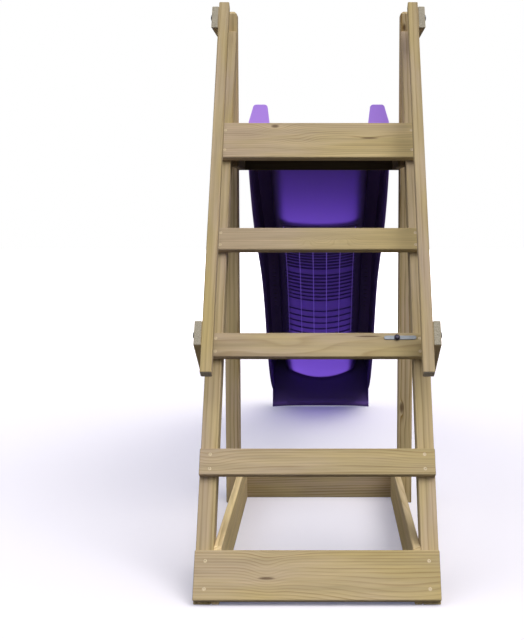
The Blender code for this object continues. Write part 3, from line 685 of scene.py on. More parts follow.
def half_section(shares, settings):
    """x (columns) and z (rows, columns) of the right half, from the side's lower edge over the rim inwards.

    Side, rim and wall are straight lines joined by quarter circles, and the bed is a parabola.
    """
    under = bed_underside(shares)
    round_, corner = settings.rim_round, settings.bed_corner
    wall_foot = settings.bed_half_width + corner / 2
    knee_x = settings.half_width - BEAD_IN[-1]
    x = np.concatenate(
        [
            settings.half_width - BEAD_IN,
            np.full(len(SIDE_PARTS), knee_x),
            knee_x + (settings.rim_outer - knee_x) * KNEE_PARTS,
            settings.rim_outer - round_ * (1 - np.cos(QUARTER)),
            settings.rim_inner + round_ * (1 - np.cos(QUARTER[::-1])),
            wall_foot - corner * (1 - np.cos(QUARTER)),
            (wall_foot - corner) * BED_PARTS,
        ]
    )
    values = (*side_heights(under, shares), under + settings.wall, dish(shares))
    edge, top, middle, deep = (value[:, None] for value in values)
    knee = top - SIDE_KNEE
    z = np.concatenate(
        [
            edge + BEAD_RISE,
            edge + BEAD_RISE[-1] + (knee - edge - BEAD_RISE[-1]) * SIDE_PARTS,
            knee + (SIDE_KNEE - round_) * KNEE_PARTS,
            top - round_ * (1 - np.sin(QUARTER)),
            top - round_ * (1 - np.sin(QUARTER[::-1])),
            middle + deep + corner * (1 - np.sin(QUARTER)),
            middle + deep * BED_PARTS**2,
        ],
        axis=1,
    )
    return x, z


def whole(half, sign):
    """A whole ring's values from its right half: the left half comes first, and the middle is there once."""
    return np.concatenate([sign * half, half[..., -2::-1]], axis=-1)


def chute_grid(settings):
    """The rider's side of the chute as one grid (rows, columns, 3).

    Rows run up the closing plate's face to the top edge, along the run, round the nose by a quarter circle,
    and down the end plate to the arched foot.
    """
    shares = np.linspace(0.0, 1.0, RUN_ROWS)
    x, z = half_section(shares, settings)
    x, z = whole(x, -1.0), whole(z, 1.0)
    run_x = np.broadcast_to(x, z.shape)
    run_y = np.broadcast_to((CHUTE_START + RUN_LENGTH * shares)[:, None], z.shape)

    turns = np.radians(np.linspace(0, 90, NOSE_ROWS + 1)[1:])[:, None]
    nose_y = CHUTE_START + RUN_LENGTH + NOSE_LENGTH * np.sin(turns) + 0 * x
    nose_z = z[-1] - NOSE_LENGTH * (1 - np.cos(turns))
    foot_share = np.clip((nose_y[:, :1] - CHUTE_END + FOOT_RETURN) / FOOT_RETURN, 0.0, 1.0)
    lower = np.clip(z[-1].min() + FLARE_HEIGHT - nose_z, 0.0, FLARE_HEIGHT) / FLARE_HEIGHT
    nose_x = x + np.sign(x) * foot_share * (FOOT_HALF_WIDTH - settings.half_width) * lower
    bead_z = z[-1, 0] * (1 - foot_share) + BEAD_RISE
    nose_z[:, : len(BEAD_RISE)] = bead_z
    nose_z[:, -len(BEAD_RISE) :] = bead_z[:, ::-1]

    down = np.linspace(0.0, 1.0, PLATE_ROWS + 1)[1:, None]
    arch = FOOT_ARCH * (1 - np.clip(np.abs(nose_x[-1]) / FOOT_HALF_WIDTH, 0, 1) ** ARCH_POWER)
    bead = LIP_DEPTH * np.exp(-(((1 - down) * (nose_z[-1] - arch) - LIP_HEIGHT) / LIP_RADIUS) ** 2)
    plate_z = nose_z[-1] + (arch - nose_z[-1]) * down
    plate_x = nose_x[-1] + 0 * down
    plate_y = CHUTE_END - bead + 0 * x

    up = np.linspace(0.0, 1.0, PLATE_ROWS)[:-1, None]
    top_low = z[0].min()
    head_z = top_low + (z[0] - top_low) * up
    head_x = x + 0 * up
    head_y = CHUTE_START + 0 * head_x

    grids = (
        (head_x, head_y, head_z),
        (run_x, run_y, z),
        (nose_x, nose_y, nose_z),
        (plate_x, plate_y, plate_z),
    )
    return np.concatenate([np.stack(grid, axis=-1) for grid in grids])


def wall_directions(grid):
    """Directions out of the wall: across times along on the run, straight back or forward on the plates.

    Where a plate meets the run, the two are mitred: their sum over one plus their product.
    """
    normal = np.empty_like(grid)
    run = normal[PLATE_ROWS - 1 : -PLATE_ROWS]
    along, over = (np.gradient(grid[PLATE_ROWS - 1 : -PLATE_ROWS], axis=axis) for axis in (0, 1))
    run[:] = np.cross(over, along)
    run /= np.linalg.norm(run, axis=-1, keepdims=True)
    head, end = normal[: PLATE_ROWS - 1], normal[-PLATE_ROWS:]
    for meeting, plate, way in ((run[0], head, -1.0), (run[-1], end, 1.0)):
        plate[:] = (0.0, way, 0.0)
        meeting[:] = (meeting + (0.0, way, 0.0)) / (1 + meeting[:, 1:2] * way)
    return normal


def shell(grid, wall):
    """A wall as one closed surface: the grid, the same moved inwards, and a strip round the border."""
    rows, columns, _ = grid.shape
    inner = grid - wall * wall_directions(grid)
    inner[..., 1] = np.clip(inner[..., 1], CHUTE_START + wall, CHUTE_END - wall)
    inner[..., 2] = np.maximum(inner[..., 2], 0.0)
    count = rows * columns
    index = np.arange(count).reshape(rows, columns)
    border = np.concatenate([index[0, :-1], index[:-1, -1], index[-1, :0:-1], index[:0:-1, 0]])
    after = np.roll(border, -1)
    faces = grid_faces(rows, columns)
    strip = np.stack([border, border + count, after + count, after], axis=-1)
    points = np.concatenate([grid.reshape(-1, 3), inner.reshape(-1, 3)])
    return points, np.concatenate([faces, faces[:, ::-1] + count, strip])


# Tones of the plastic from 0, the deep colour of painted shade, to 1, the pale one of painted light
USUAL_TONE = 0.5
PAINTED_SHADE_TONE = 0.08
# The foot's ridge is painted lighter than the rest of the underside: a painted highlight
LIP_HIGHLIGHT_TONE = 0.34
# The webs are painted lighter than the rest of the underside but darker than the usual colour: painted shade
# with a painted highlight
WEB_TONE = 0.30
# The outer side is painted pale over this reach from the deck: painted light
PAINTED_LIGHT_REACH = 0.070  # from the deck
# Smooth panels of the bed: start and end along it, and how clear they are at each of these
PANELS = ((-0.10, 0.512, 0.18, 0.81), (1.395, 2.2, 0.87, 0.91))
PANEL_HALF_WIDTH = 0.149
PANEL_CORNER = 0.055
PANEL_FADE = 0.030
RIBBED_REACH = (0.52, 1.40)
RIBBED_CLEARNESS = (0.21, 0.54)  # at the first and the last cross rib
RIBBED_EDGES = (0.112, 0.148)  # across, where the ribbed stretch's clearness starts to fade and ends
BED_LENGTHS = np.linspace(0, 2, 400)  # more than the bed has
# Noises of the plastic: cells per metre along x, y and z, detail and roughness
PEEL_NOISE = ((260, 260, 260), 2, 0.5)
CLOUD_NOISE = ((6, 6, 6), 3, 0.5)
SCUFF_NOISE = ((90, 14, 90), 3, 0.7)
CLOUD_SHARE, CLOUD_SHADE = 0.35, 0.8
CLOUD_ROUGHNESS, SCUFF_ROUGHNESS = 0.12, 0.14
PLASTIC_RELIEF = 0.00025


def smooth(value, low, high):
    """Goes smoothly from 0 to 1 as the value goes from low to high."""
    part = np.clip((value - low) / (high - low), 0.0, 1.0)
    return part * part * (3 - 2 * part)


def clearness(grid):
    """How clear the wall is at each point: the bed's smooth panels are thin, the ribbed stretch is thicker.

    A panel is a rectangle with rounded corners, x across and the distance along the bed down it.
    """
    shares = np.clip((grid[..., 1] - CHUTE_START) / RUN_LENGTH, 0.0, 1.0)
    lengths = np.interp(shares, along_bed(BED_LENGTHS)[3], BED_LENGTHS)
    across = np.abs(grid[..., 0])
    clear = np.interp(lengths, RIBBED_REACH, RIBBED_CLEARNESS) * (1 - smooth(across, *RIBBED_EDGES))
    for low, high, first, last in PANELS:
        off_x = across - (PANEL_HALF_WIDTH - PANEL_CORNER)
        off_y = np.abs(lengths - (low + high) / 2) - ((high - low) / 2 - PANEL_CORNER)
        outside = np.hypot(np.maximum(off_x, 0), np.maximum(off_y, 0)) - PANEL_CORNER
        strength = np.interp(lengths, (max(low, 0.0), high), (first, last))
        clear = np.maximum(clear, strength * (1 - smooth(outside, -PANEL_FADE, PANEL_FADE / 3)))
    clear[: PLATE_ROWS - 1] = 0.0
    clear[-PLATE_ROWS - NOSE_ROWS // 2 :] = 0.0
    return clear


def shell_tones(grid):
    """Tones of the shell's points, which paint light and shade into the plastic.

    Outside it is pale near the deck, painted light; underneath it is deep, painted shade, but for the foot's
    ridge, which gets a painted highlight.
    """
    y, z = grid[..., 1], grid[..., 2]
    outer = np.maximum(USUAL_TONE, 1 - smooth(y - CHUTE_START, 0.0, PAINTED_LIGHT_REACH))
    # ridge: where the foot's ridge gets its painted highlight
    ridge = np.exp(-(((z - LIP_HEIGHT) / LIP_RADIUS) ** 2)) * (y > CHUTE_END - 2 * LIP_DEPTH)
    under = PAINTED_SHADE_TONE + (LIP_HIGHLIGHT_TONE - PAINTED_SHADE_TONE) * ridge
    return np.concatenate([outer.reshape(-1), under.reshape(-1)])


def plastic(settings):
    """Glossy moulded plastic; the clearness attribute says how much light comes through.

    The tone attribute paints shade and light into its colour, and the pale parts glow as painted light.
    """
    finish = Finish(CHUTE_FINISH)
    place = finish.coordinates()
    peel, cloud, scuff = (finish.noise(place, *kind) for kind in (PEEL_NOISE, CLOUD_NOISE, SCUFF_NOISE))
    shaded = scaled(settings.colour, CLOUD_SHADE)
    colour = finish.mix(cloud.step(0.35, 0.75) * CLOUD_SHARE, settings.colour, shaded)
    rough = settings.roughness + (cloud - 0.5) * CLOUD_ROUGHNESS + (scuff - 0.5) * SCUFF_ROUGHNESS
    # The tone paints shade and light: below the usual tone it goes to the deep colour, painted shade; above
    # it to the pale one, painted light
    tone = finish.attribute("tone")
    pale = tone.step(USUAL_TONE, 1.0)
    colour = finish.mix(tone.step(0.0, USUAL_TONE), settings.deep, colour)
    colour = finish.mix(pale, colour, settings.pale)
    # Painted glow: the pale parts give off light though they are no lamp
    glow = finish.mix(pale, (0.0, 0.0, 0.0), settings.painted_glow)
    finish.surface(Base_Color=colour, Roughness=rough, Specular_IOR_Level=0.45)
    finish.surface(Emission_Color=glow, Emission_Strength=1.0)
    finish.bump(peel + scuff * 0.4, PLASTIC_RELIEF, 0.35)
    through = finish.node("ShaderNodeBsdfTranslucent", None, {"Color": settings.glow})
    shader = Socket(finish, finish.shader.outputs[0])
    values = {0: finish.attribute("clearness"), 1: shader, 2: through}
    mixed = finish.node("ShaderNodeMixShader", None, values)
    finish.feed(finish.tree.nodes["Material Output"].inputs["Surface"], mixed)
    return finish.material


class GARDENSLIDE_OT_build_chute(Operator):
    """Builds the chute's shell from the closing plate at the deck to the arched foot"""

    bl_idname = "garden_slide.build_chute"
    bl_label = "Build Chute"

    def execute(self, context):
        settings = context.scene.garden_slide.chute
        grid = chute_grid(settings)
        points, faces = shell(grid, settings.wall)
        values = {"clearness": np.tile(clearness(grid).reshape(-1), 2), "tone": shell_tones(grid)}
        material = plastic(settings)
        piece = add_piece("chute_shell", points, faces, material, CHUTE_SLOT, 40.0, **values)
        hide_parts("slide_chute")
        return {"FINISHED"}


RIB_OFFSETS = tuple((k - 2.5) * 0.0525 for k in range(6))  # places of the long ribs across the bed
PAD_HALF_WIDTH = 0.138
RIB_BITE = 0.0015  # the ribs reach this far into the bed
RIB_TIP_STEPS = 7
LONG_RIB_STEPS = 150
LONG_RIB_PAST = 0.012  # how far the long ribs run past the last cross rib
LONG_RIB_FOOT = 0.0021  # half widths of the ribs where they meet the bed
# The long ribs' tips get a painted highlight, strongest on the middle ones
LONG_RIB_HIGHLIGHT_TONE = 0.82  # of the middle ones
LONG_RIB_FALL = 0.10  # how much less the outermost have
LONG_RIB_FOOT_TONE = 0.6
CROSS_RIB_STEPS = 33
CROSS_RIB_FOOT = 0.0030
CROSS_RIB_DROP = 0.001  # how much lower the cross ribs are
# Cross ribs: distance of the first of a group along the bed from its top, pitch and count
RIB_GROUPS = ((0.526, 0.0265, 16), (0.976, 0.025, 8), (1.222, 0.040, 5))
WEB_REACH = (0.05, 1.60)
WEB_PITCH = 0.0265
WEB_TOP = 0.003  # under the rim's inside
WEB_DEPTH = 0.030
WEB_THICKNESS = 0.002
WEB_STEPS = 7
WEB_CUT = 0.45  # how much the arc takes off a web's depth in its middle


def fin(half_foot, half_tip, height):
    """A rib's closed profile: straight sides that lean to a rounded tip, and a foot inside the bed."""
    turns = np.radians(np.linspace(0, 180, RIB_TIP_STEPS))
    tip = [(half_tip * math.cos(turn), height - half_tip * (1 - math.sin(turn))) for turn in turns]
    return [(half_foot, -RIB_BITE), *tip, (-half_foot, -RIB_BITE)]


def long_rib_tone(offset, rows):
    """Tone of a rib's points, in that many rows: a painted highlight at its tip, less so away from the
    middle.
    """
    ring = np.full(RIB_TIP_STEPS + 2, LONG_RIB_HIGHLIGHT_TONE - LONG_RIB_FALL * (offset / RIB_OFFSETS[-1]) ** 2)
    ring[[0, -1]] = LONG_RIB_FOOT_TONE
    return np.tile(ring, rows)


def chute_ribs(settings):
    """Long ribs down the bed and three groups of ribs across it, which follow its dish.

    With each point comes its tone: the tips of the long ribs get a painted highlight, the cross ribs painted
    shade.
    """
    bed_edge = settings.bed_half_width - settings.bed_corner / 2
    half_tip = settings.rib_width / 2
    long_fin = fin(LONG_RIB_FOOT, half_tip, settings.rib_height)
    cross_fin = fin(CROSS_RIB_FOOT, half_tip, settings.rib_height - CROSS_RIB_DROP)
    rows = np.concatenate([first + pitch * np.arange(count) for first, pitch, count in RIB_GROUPS])
    y, z, slope, share = along_bed(np.linspace(rows[0], rows[-1] + LONG_RIB_PAST, LONG_RIB_STEPS))
    down = np.stack([0 * slope, -np.sin(slope), -np.cos(slope)], axis=-1)
    tones = np.concatenate([long_rib_tone(offset, len(y) + 2) for offset in RIB_OFFSETS])
    shapes = []
    for offset in RIB_OFFSETS:
        base = np.stack([offset + 0 * y, y, z + dish(share) * (offset / bed_edge) ** 2], axis=-1)
        shapes.append(carried(base, (1.0, 0, 0), down, long_fin))
    across = np.linspace(-PAD_HALF_WIDTH, PAD_HALF_WIDTH, CROSS_RIB_STEPS)
    for y, z, slope, share in np.stack(along_bed(rows), axis=-1):
        base = np.stack([across, y + 0 * across, z + dish(share) * (across / bed_edge) ** 2], axis=-1)
        side = (0, math.cos(slope), -math.sin(slope))
        down = (0, -math.sin(slope), -math.cos(slope))
        shapes.append(carried(base, side, down, cross_fin))
    points, faces = joined(shapes)
    return points, faces, np.concatenate([tones, np.zeros(len(points) - len(tones))])


def rail_webs(settings):
    """Thin plates across the hollow of both side rails, hung from the rim and cut in an arc below."""
    y, z, _, share = along_bed(np.arange(*WEB_REACH, WEB_PITCH))
    top = side_heights(z, share)[1] - settings.wall
    inner = settings.rim_inner + settings.wall / 2
    outer = settings.rim_outer - settings.wall / 2
    parts = np.linspace(0.0, 1.0, WEB_STEPS)
    down = np.stack([0 * parts, 0 * parts, WEB_CUT * np.sin(np.pi * parts) - 1.0], axis=-1)
    half = WEB_THICKNESS / 2
    profile = [(half, WEB_TOP), (half, WEB_DEPTH), (-half, WEB_DEPTH), (-half, WEB_TOP)]
    shapes = []
    for _, sign in SIDES:
        across = sign * (inner + (outer - inner) * parts)
        for web_y, web_top in zip(y, top):
            base = np.stack([across, web_y + 0 * parts, web_top + 0 * parts], axis=-1)
            shapes.append(carried(base, (0, 1.0, 0), down, profile))
    return joined(shapes)


class GARDENSLIDE_OT_build_chute_ribs(Operator):
    """Builds the ribs under the chute's bed and the webs in its side rails"""

    bl_idname = "garden_slide.build_chute_ribs"
    bl_label = "Build Chute Ribs"

    def execute(self, context):
        settings = context.scene.garden_slide.chute
        material = bpy.data.materials[CHUTE_FINISH]
        points, faces, tone = chute_ribs(settings)
        add_piece("chute_bed_ribs", points, faces, material, CHUTE_SLOT, tone=tone)
        points, faces = rail_webs(settings)
        # Painted shade with a painted highlight on the webs
        tone = np.full(len(points), WEB_TONE)
        add_piece("chute_rail_webs", points, faces, material, CHUTE_SLOT, tone=tone)
        return {"FINISHED"}


# Fixings

LADDER_BOARDS = ("kickboard", "ladder_tread_1", "ladder_tread_2", "ladder_tread_3", "platform_rear_board")
STEEL_SLOT = "zinc_steel"
SCREW_SPOKES = 24
HEAD_RINGS = (0.0, 0.12, 0.26, 0.40, 0.52, 0.60, 0.90)  # of a screw head's face, as shares of its radius
HEAD_EDGE = 0.0003
HEAD_DEPTH = 0.0034
SCREW_POINT = 0.008
CROSS_ARM = 0.56  # of the head's radius
CROSS_HALF = 0.17
CROSS_SIDE = 0.05  # width of the recess's sloping sides
CROSS_FALL = 0.5  # share of the recess's depth that is lost at the end of an arm
LADDER_SCREW, TONGUE_SCREW, FRAME_SCREW, DECK_SCREW = 0.050, 0.017, 0.045, 0.040  # lengths
FRAME_SCREW_PROUD = 0.0002
# How far the frame screws are from their boards' ends and edges
BEAM_INSET = 0.03
RUNNER_END_INSET, RUNNER_LOW_INSET, RUNNER_HIGH_INSET = 0.075, 0.025, 0.030
DECK_END_INSET, DECK_EDGE_INSET = 0.010, 0.018

BOLT_SPOKES = 40
BOLT_SHANK = 0.0038
BOLT_LENGTH = 0.044
DOME_TURNS = np.radians(np.linspace(0, 74, 9))
DOME_EDGE = 0.0010
DOME_RISE = 0.0032

STRAP_HALF_WIDTH = 0.0055
STRAP_THICKNESS = 0.0020
STRAP_END_STEPS = 9
STRAP_TIP = 0.0004  # half width of the first and last row
STRAP_PROFILE = ((1, 0.0), (1, 0.0016), (0.93, 0.0020), (-0.93, 0.0020), (-1, 0.0016), (-1, 0.0))
STRAP_BOLT_SPOKES = 36
STRAP_BOLT_HEIGHT = 0.0065  # from the strap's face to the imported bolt's end
# (radius, height) pairs: the head's hollow, its edge, the washer and the shank
STRAP_BOLT_PROFILE = (
    (0.0, 0.0052), (0.0030, 0.0052), (0.0032, 0.0064), (0.0055, 0.0062), (0.0066, 0.0054), (0.0070, 0.0016),
    (0.0080, 0.0012), (0.0080, 0.0002), (0.0030, 0.0002), (0.0030, -0.018), (0.0, -0.018),
)

# Noises of the steel: cells per metre along x, y and z, detail and roughness
MOTTLE_NOISE = ((900, 900, 900), 2, 0.6)
STAIN_NOISE = ((140, 140, 140), 3, 0.6)
STAIN_SHARE, STAIN_SHADE = 0.35, 0.55
STEEL_RELIEF = 0.0001


def screw(settings, length):
    """A countersunk screw, top first, with a cross-shaped recess that gets deeper towards its middle."""
    head, shank, face = settings.screw_head, settings.screw_shank, -settings.screw_sink
    rings = [(head * share, face) for share in HEAD_RINGS]
    cone = [(head, face - HEAD_EDGE), (shank, face - HEAD_DEPTH)]
    tip = [(shank, SCREW_POINT - length), (0.0, -length)]

    def cross(x, y):
        long_way = np.maximum(abs(x), abs(y)) / head
        short_way = np.minimum(abs(x), abs(y)) / head
        inside = np.clip((CROSS_ARM - long_way) / CROSS_SIDE, 0, 1)
        inside = inside * np.clip((CROSS_HALF - short_way) / CROSS_SIDE, 0, 1)
        return settings.recess * inside * (1.0 - long_way / CROSS_ARM * CROSS_FALL)

    return turned(rings + cone + tip, SCREW_SPOKES, dent=cross)


def coach_bolt(settings):
    """A mushroom head: a dome, which is part of a circle turned about its axis, on a plain shank."""
    last = DOME_TURNS[-1]
    radius = settings.bolt_head * np.sin(DOME_TURNS) / np.sin(last)
    height = FIT_GAP + DOME_EDGE + DOME_RISE * (np.cos(DOME_TURNS) - np.cos(last)) / (1 - np.cos(last))
    shank = [(BOLT_SHANK, FIT_GAP), (BOLT_SHANK, -BOLT_LENGTH), (0.0, -BOLT_LENGTH)]
    return turned([*zip(radius, height), (settings.bolt_head, FIT_GAP), *shank], BOLT_SPOKES)


def metal(name, colour, roughness, metallic=0.9):
    """Plated steel with a faint crystalline mottle and dull stains."""
    finish = Finish(name)
    place = finish.coordinates()
    mottle, stain = (finish.noise(place, *kind) for kind in (MOTTLE_NOISE, STAIN_NOISE))
    tint = finish.mix(stain.step(0.45, 0.75) * STAIN_SHARE, colour, scaled(colour, STAIN_SHADE))
    finish.surface(Base_Color=tint, Metallic=metallic, Roughness=(mottle - 0.5) * 0.3 + roughness)
    finish.bump(mottle, STEEL_RELIEF, 0.3)
    return finish.material


def fit(new_name, name, shape, direction, rise, material, slot=STEEL_SLOT):
    """Puts a shape in a packed fixing's stead, at the middle of its outermost face and rise further out."""
    direction = np.array(direction)
    points = packed_points(name)
    reach = points @ direction
    end = points[reach > reach.max() - 0.0001]
    place = (end.max(axis=0) + end.min(axis=0)) / 2 + direction * rise
    piece = add_piece(new_name, *placed(shape, place, direction), material, slot)
    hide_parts(name)


class GARDENSLIDE_OT_drive_ladder_screws(Operator):
    """Puts a screw with a cross recess in the place of each packed one"""

    bl_idname = "garden_slide.drive_ladder_screws"
    bl_label = "Drive Ladder Screws"

    def execute(self, context):
        settings = context.scene.garden_slide.fixings
        material = metal("screw_zinc", settings.yellow_zinc, 0.50, metallic=0.25)
        long_screw, short_screw = (screw(settings, length) for length in (LADDER_SCREW, TONGUE_SCREW))
        for board in LADDER_BOARDS:
            for side, _ in SIDES:
                for row in ("lower", "upper"):
                    name = f"{board}_screw_{side}_{row}"
                    fit(f"{name}_head", name, long_screw, LADDER_FRONT, settings.screw_sink, material)
        for side in ("left", "middle", "right"):
            name = f"chute_screw_{side}"
            fit(f"{name}_head", name, short_screw, (0, 0, 1), settings.screw_sink, material)
        return {"FINISHED"}


def heads_at(xs, ys, zs, direction):
    """Place and direction of a screw at each crossing of the given x, y and z."""
    return [((x, y, z), direction) for x in xs for y in ys for z in zs]


def frame_screws(proud):
    """Place and direction of every screw, for each group of boards."""
    post_x = (POST_LOW.x + POST_HIGH.x) / 2
    post_y = (POST_LOW.y + POST_HIGH.y) / 2
    groups = {}
    for board in ("base_crossbar", "platform_front_beam"):
        low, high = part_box(board)
        heights = (low.z + BEAM_INSET, high.z - BEAM_INSET)
        groups[board] = heads_at((-post_x, post_x), (high.y + proud,), heights, (0, 1, 0))
    for board in ("base_runner", "platform_bearer"):
        groups[f"{board}s"] = []
        for side, sign in SIDES:
            low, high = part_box(f"{board}_{side}")
            face = sign * (min(abs(low.x), abs(high.x)) - proud)
            heights = (low.z + RUNNER_LOW_INSET, high.z - RUNNER_HIGH_INSET)
            ways = (low.y + RUNNER_END_INSET, post_y)
            groups[f"{board}s"] += heads_at((face,), ways, heights, (-sign, 0, 0))
    groups["deck"] = []
    for number in (1, 2, 3):
        low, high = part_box(f"deck_board_{number}")
        end = high.x - DECK_END_INSET
        edges = (low.y + DECK_EDGE_INSET, high.y - DECK_EDGE_INSET)
        groups["deck"] += heads_at((-end, end), edges, (high.z + proud,), (0, 0, 1))
    return groups


class GARDENSLIDE_OT_drive_frame_screws(Operator):
    """Drives the screws that hold runners, bearers, crossbar, beam and deck boards, heads flush"""

    bl_idname = "garden_slide.drive_frame_screws"
    bl_label = "Drive Frame Screws"

    def execute(self, context):
        settings = context.scene.garden_slide.fixings
        material = metal("frame_screw_zinc", settings.yellow_zinc, 0.55, metallic=0.25)
        for name, heads in frame_screws(settings.screw_sink + FRAME_SCREW_PROUD).items():
            one = screw(settings, DECK_SCREW if name == "deck" else FRAME_SCREW)
            shape = joined([placed(one, *head) for head in heads])
            add_piece(f"{name}_screws", *shape, material, STEEL_SLOT)
        return {"FINISHED"}


class GARDENSLIDE_OT_fit_coach_bolts(Operator):
    """Fits the domed bolts through the arms of the handrails"""

    bl_idname = "garden_slide.fit_coach_bolts"
    bl_label = "Fit Coach Bolts"

    def execute(self, context):
        settings = context.scene.garden_slide.fixings
        material = metal("bolt_zinc", settings.zinc, 0.34)
        shape = coach_bolt(settings)
        for joint in ("top_arm_rail", "top_arm_post", "lower_arm_rail", "lower_arm_stringer"):
            for side, sign in SIDES:
                name = f"{joint}_bolt_{side}"
                fit(f"{name}_dome", name, shape, (sign, 0, 0), -(settings.bolt_rise + FIT_GAP), material)
        return {"FINISHED"}


def strap_shape():
    """A flat bar with round ends: its half width there is the height of a half circle."""
    low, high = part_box("steel_strap")
    front = np.array(LADDER_FRONT)
    middle = (np.array(low) + np.array(high)) / 2 - front * STRAP_THICKNESS / 2
    end = np.linspace(0, 90, STRAP_END_STEPS)
    turns = np.radians(np.concatenate([end, 180 - end[::-1]]))
    straight = (high.x - low.x) / 2 - STRAP_HALF_WIDTH
    x = np.repeat((-1, 1), STRAP_END_STEPS) * straight - STRAP_HALF_WIDTH * np.cos(turns)
    width = np.maximum(STRAP_HALF_WIDTH * np.sin(turns), STRAP_TIP)
    base = middle + np.stack([x, 0 * x, 0 * x], axis=-1)
    return carried(base, np.array(UP_LADDER) * width[:, None], front, STRAP_PROFILE)


class GARDENSLIDE_OT_fit_strap(Operator):
    """Fits the short steel strap on the middle tread, and its bolt"""

    bl_idname = "garden_slide.fit_strap"
    bl_label = "Fit Strap"

    def execute(self, context):
        settings = context.scene.garden_slide.fixings
        material = metal("strap_zinc", settings.zinc, 0.48, metallic=0.3)
        strap = add_piece("strap_plate", *strap_shape(), material, STEEL_SLOT)
        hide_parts("steel_strap")
        material = metal("bolt_coating", settings.dark, 0.40)
        shape = turned(STRAP_BOLT_PROFILE, STRAP_BOLT_SPOKES)
        names = ("strap_bolt_head", "steel_strap_bolt")
        fit(*names, shape, LADDER_FRONT, -STRAP_BOLT_HEIGHT, material, "dark_steel")
        return {"FINISHED"}


# Stage

FLOOR_GLOW = (1.0, 0.99, 1.0)  # of the floor far from the slide
GLOW_REACH = (2.3, 5.0)  # distances where the floor's light starts to rise and where it is full
UNDER_FLOOR_DROP = 0.002
UNDER_FLOOR_DARK = (0.04, 0.04, 0.045)
UNDER_FLOOR_LIGHT = (0.40, 0.39, 0.43)
BESIDE_REACH, BESIDE_END = (0.45, 0.95), (1.3, 1.8)  # of the light beside the frame, along x
BEFORE_REACH, BEFORE_END = (-1.30, -1.10), (-2.6, -2.1)  # of the light in front of the ladder, along y
SKY_TINT = (0.84, 0.88, 1.08)
CAMERA_DOWN = 5.03  # degrees


def level_square(name, half, height, material):
    """A square that lies level, about the middle of the slide's place."""
    corners = [(x * half, y * half, height) for x, y in ((-1, -1), (1, -1), (1, 1), (-1, 1))]
    return add_piece(name, np.array(corners), np.array([[0, 1, 2, 3]]), material, None, ride=False)


def floor_finish(settings):
    """A pale matt floor that gives off a little light near the slide and more with distance."""
    finish = Finish("studio_floor")
    away = finish.vector("LENGTH", finish.coordinates(), outlet=1)
    glow = finish.mix(away.step(*GLOW_REACH), settings.lift, FLOOR_GLOW)
    finish.surface(Base_Color=settings.floor_colour, Roughness=0.9, Specular_IOR_Level=0.0)
    finish.surface(Emission_Color=glow, Emission_Strength=1.0)
    return finish.material


def under_floor_finish():
    """What lights the slide from below: dark under it, lighter beside it and in front of the ladder."""
    finish = Finish("under_floor")
    x, y, _ = finish.axes(finish.coordinates())
    off_middle = x.maths("ABSOLUTE")
    beside = off_middle.step(*BESIDE_REACH) * off_middle.step(*BESIDE_END, 1.0, 0.0)
    lit = beside.maths("MAXIMUM", y.step(*BEFORE_REACH, 1.0, 0.0)) * y.step(*BEFORE_END)
    colour = finish.mix(lit, UNDER_FLOOR_DARK, UNDER_FLOOR_LIGHT)
    finish.surface(Base_Color=colour, Roughness=1.0, Specular_IOR_Level=0.0)
    return finish.material


def studio_world(settings):
    """Light from all round, and white where the camera sees past the floor."""
    world = bpy.data.worlds.new("studio")
    world.use_nodes = True
    tree = world.node_tree
    path = tree.nodes.new("ShaderNodeLightPath")
    sky = tree.nodes.new("ShaderNodeMix")
    sky.data_type = "RGBA"
    sky.inputs["A"].default_value = (*scaled(SKY_TINT, settings.ambient), 1)
    sky.inputs["B"].default_value = (1, 1, 1, 1)
    tree.links.new(path.outputs["Is Camera Ray"], sky.inputs["Factor"])
    tree.links.new(sky.outputs["Result"], tree.nodes["Background"].inputs["Color"])
    return world


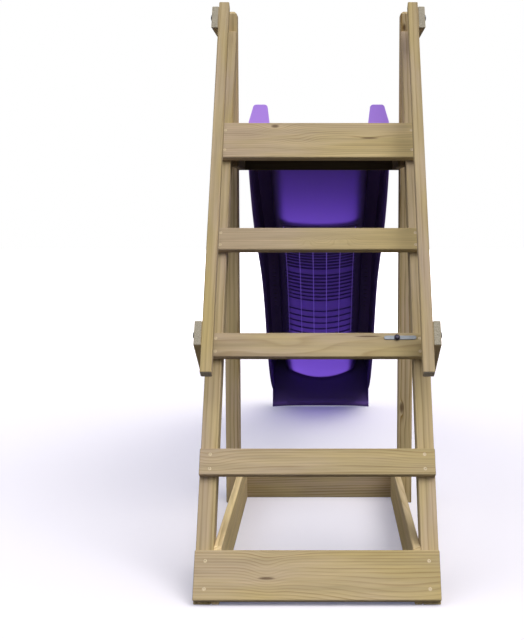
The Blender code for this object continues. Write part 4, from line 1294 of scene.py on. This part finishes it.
class GARDENSLIDE_OT_build_stage(Operator):
    """Lays the floor, hangs the soft lights and sets the camera where the photograph was taken"""

    bl_idname = "garden_slide.build_stage"
    bl_label = "Build Stage"

    def execute(self, context):
        scene = context.scene
        settings = scene.garden_slide.stage
        half = settings.floor_size / 2
        floor = level_square("studio_floor", half, 0.0, floor_finish(settings))
        floor.visible_diffuse = False
        floor.visible_glossy = False
        floor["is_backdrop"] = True
        under = level_square("under_floor", half, -UNDER_FLOOR_DROP, under_floor_finish())
        under.visible_camera = False
        under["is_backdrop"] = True
        scene.world = studio_world(settings)

        # Each light's direction, spread in degrees, strength and colour
        lights = (
            ("key_light", (0.30, -0.46, 0.84), 50, settings.key, (1.0, 0.985, 0.955)),
            ("left_light", (-0.74, -0.25, 0.62), 70, settings.left, (0.97, 0.975, 1.0)),
            ("right_light", (0.76, -0.25, 0.60), 70, settings.right, (1.0, 0.985, 0.97)),
            ("top_light", (0.05, 0.25, 0.97), 110, settings.top, (1.0, 1.0, 1.0)),
        )
        for name, toward, spread, power, colour in lights:
            data = bpy.data.lights.new(name, "SUN")
            data.angle = math.radians(spread)
            data.energy = power
            data.color = colour
            light = bpy.data.objects.new(name, data)
            light.location = Vector(toward) * 5
            light.rotation_euler = Vector(toward).to_track_quat("Z", "Y").to_euler()
            scene.collection.objects.link(light)

        camera = bpy.data.cameras.new("camera")
        camera.lens = 61.875
        camera.sensor_width = 36.0
        camera.shift_x = -0.0974
        camera.shift_y = -0.0281
        camera.clip_end = 200.0
        eye = bpy.data.objects.new("camera", camera)
        eye.location = (0.01776, -3.9042, 0.9645)
        eye.rotation_euler = (math.radians(90 - CAMERA_DOWN), 0, 0)
        scene.collection.objects.link(eye)
        scene.camera = eye
        scene.view_settings.view_transform = "Standard"
        return {"FINISHED"}


# Panel and registration

class GARDENSLIDE_PT_panel(Panel):
    """Lists the steps that dress the garden slide"""

    bl_idname = "GARDENSLIDE_PT_panel"
    bl_label = "Garden Slide"
    bl_space_type = "VIEW_3D"
    bl_region_type = "UI"
    bl_category = "Garden Slide"

    def draw(self, context):
        for operator in OPERATORS:
            self.layout.operator(operator.bl_idname)


OPERATORS = (
    GARDENSLIDE_OT_finish_timbers,
    GARDENSLIDE_OT_build_chute,
    GARDENSLIDE_OT_build_chute_ribs,
    GARDENSLIDE_OT_drive_ladder_screws,
    GARDENSLIDE_OT_drive_frame_screws,
    GARDENSLIDE_OT_fit_coach_bolts,
    GARDENSLIDE_OT_fit_strap,
    GARDENSLIDE_OT_build_stage,
)
CLASSES = (
    TimberSettings,
    ChuteSettings,
    FixingSettings,
    StageSettings,
    SlideSettings,
    *OPERATORS,
    GARDENSLIDE_PT_panel,
)


def register():
    for cls in CLASSES:
        bpy.utils.register_class(cls)
    bpy.types.Scene.garden_slide = PointerProperty(type=SlideSettings)


def unregister():
    del bpy.types.Scene.garden_slide
    for cls in reversed(CLASSES):
        bpy.utils.unregister_class(cls)


def main():
    register()
    bpy.ops.garden_slide.finish_timbers()
    bpy.ops.garden_slide.build_chute()
    bpy.ops.garden_slide.build_chute_ribs()
    bpy.ops.garden_slide.drive_ladder_screws()
    bpy.ops.garden_slide.drive_frame_screws()
    bpy.ops.garden_slide.fit_coach_bolts()
    bpy.ops.garden_slide.fit_strap()
    bpy.ops.garden_slide.build_stage()
    boxes = {"cad": CAD_BOX, "visual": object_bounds()}
    {name: [list(corner) for corner in box] for name, box in boxes.items()}


if __name__ == "__main__":
    main()
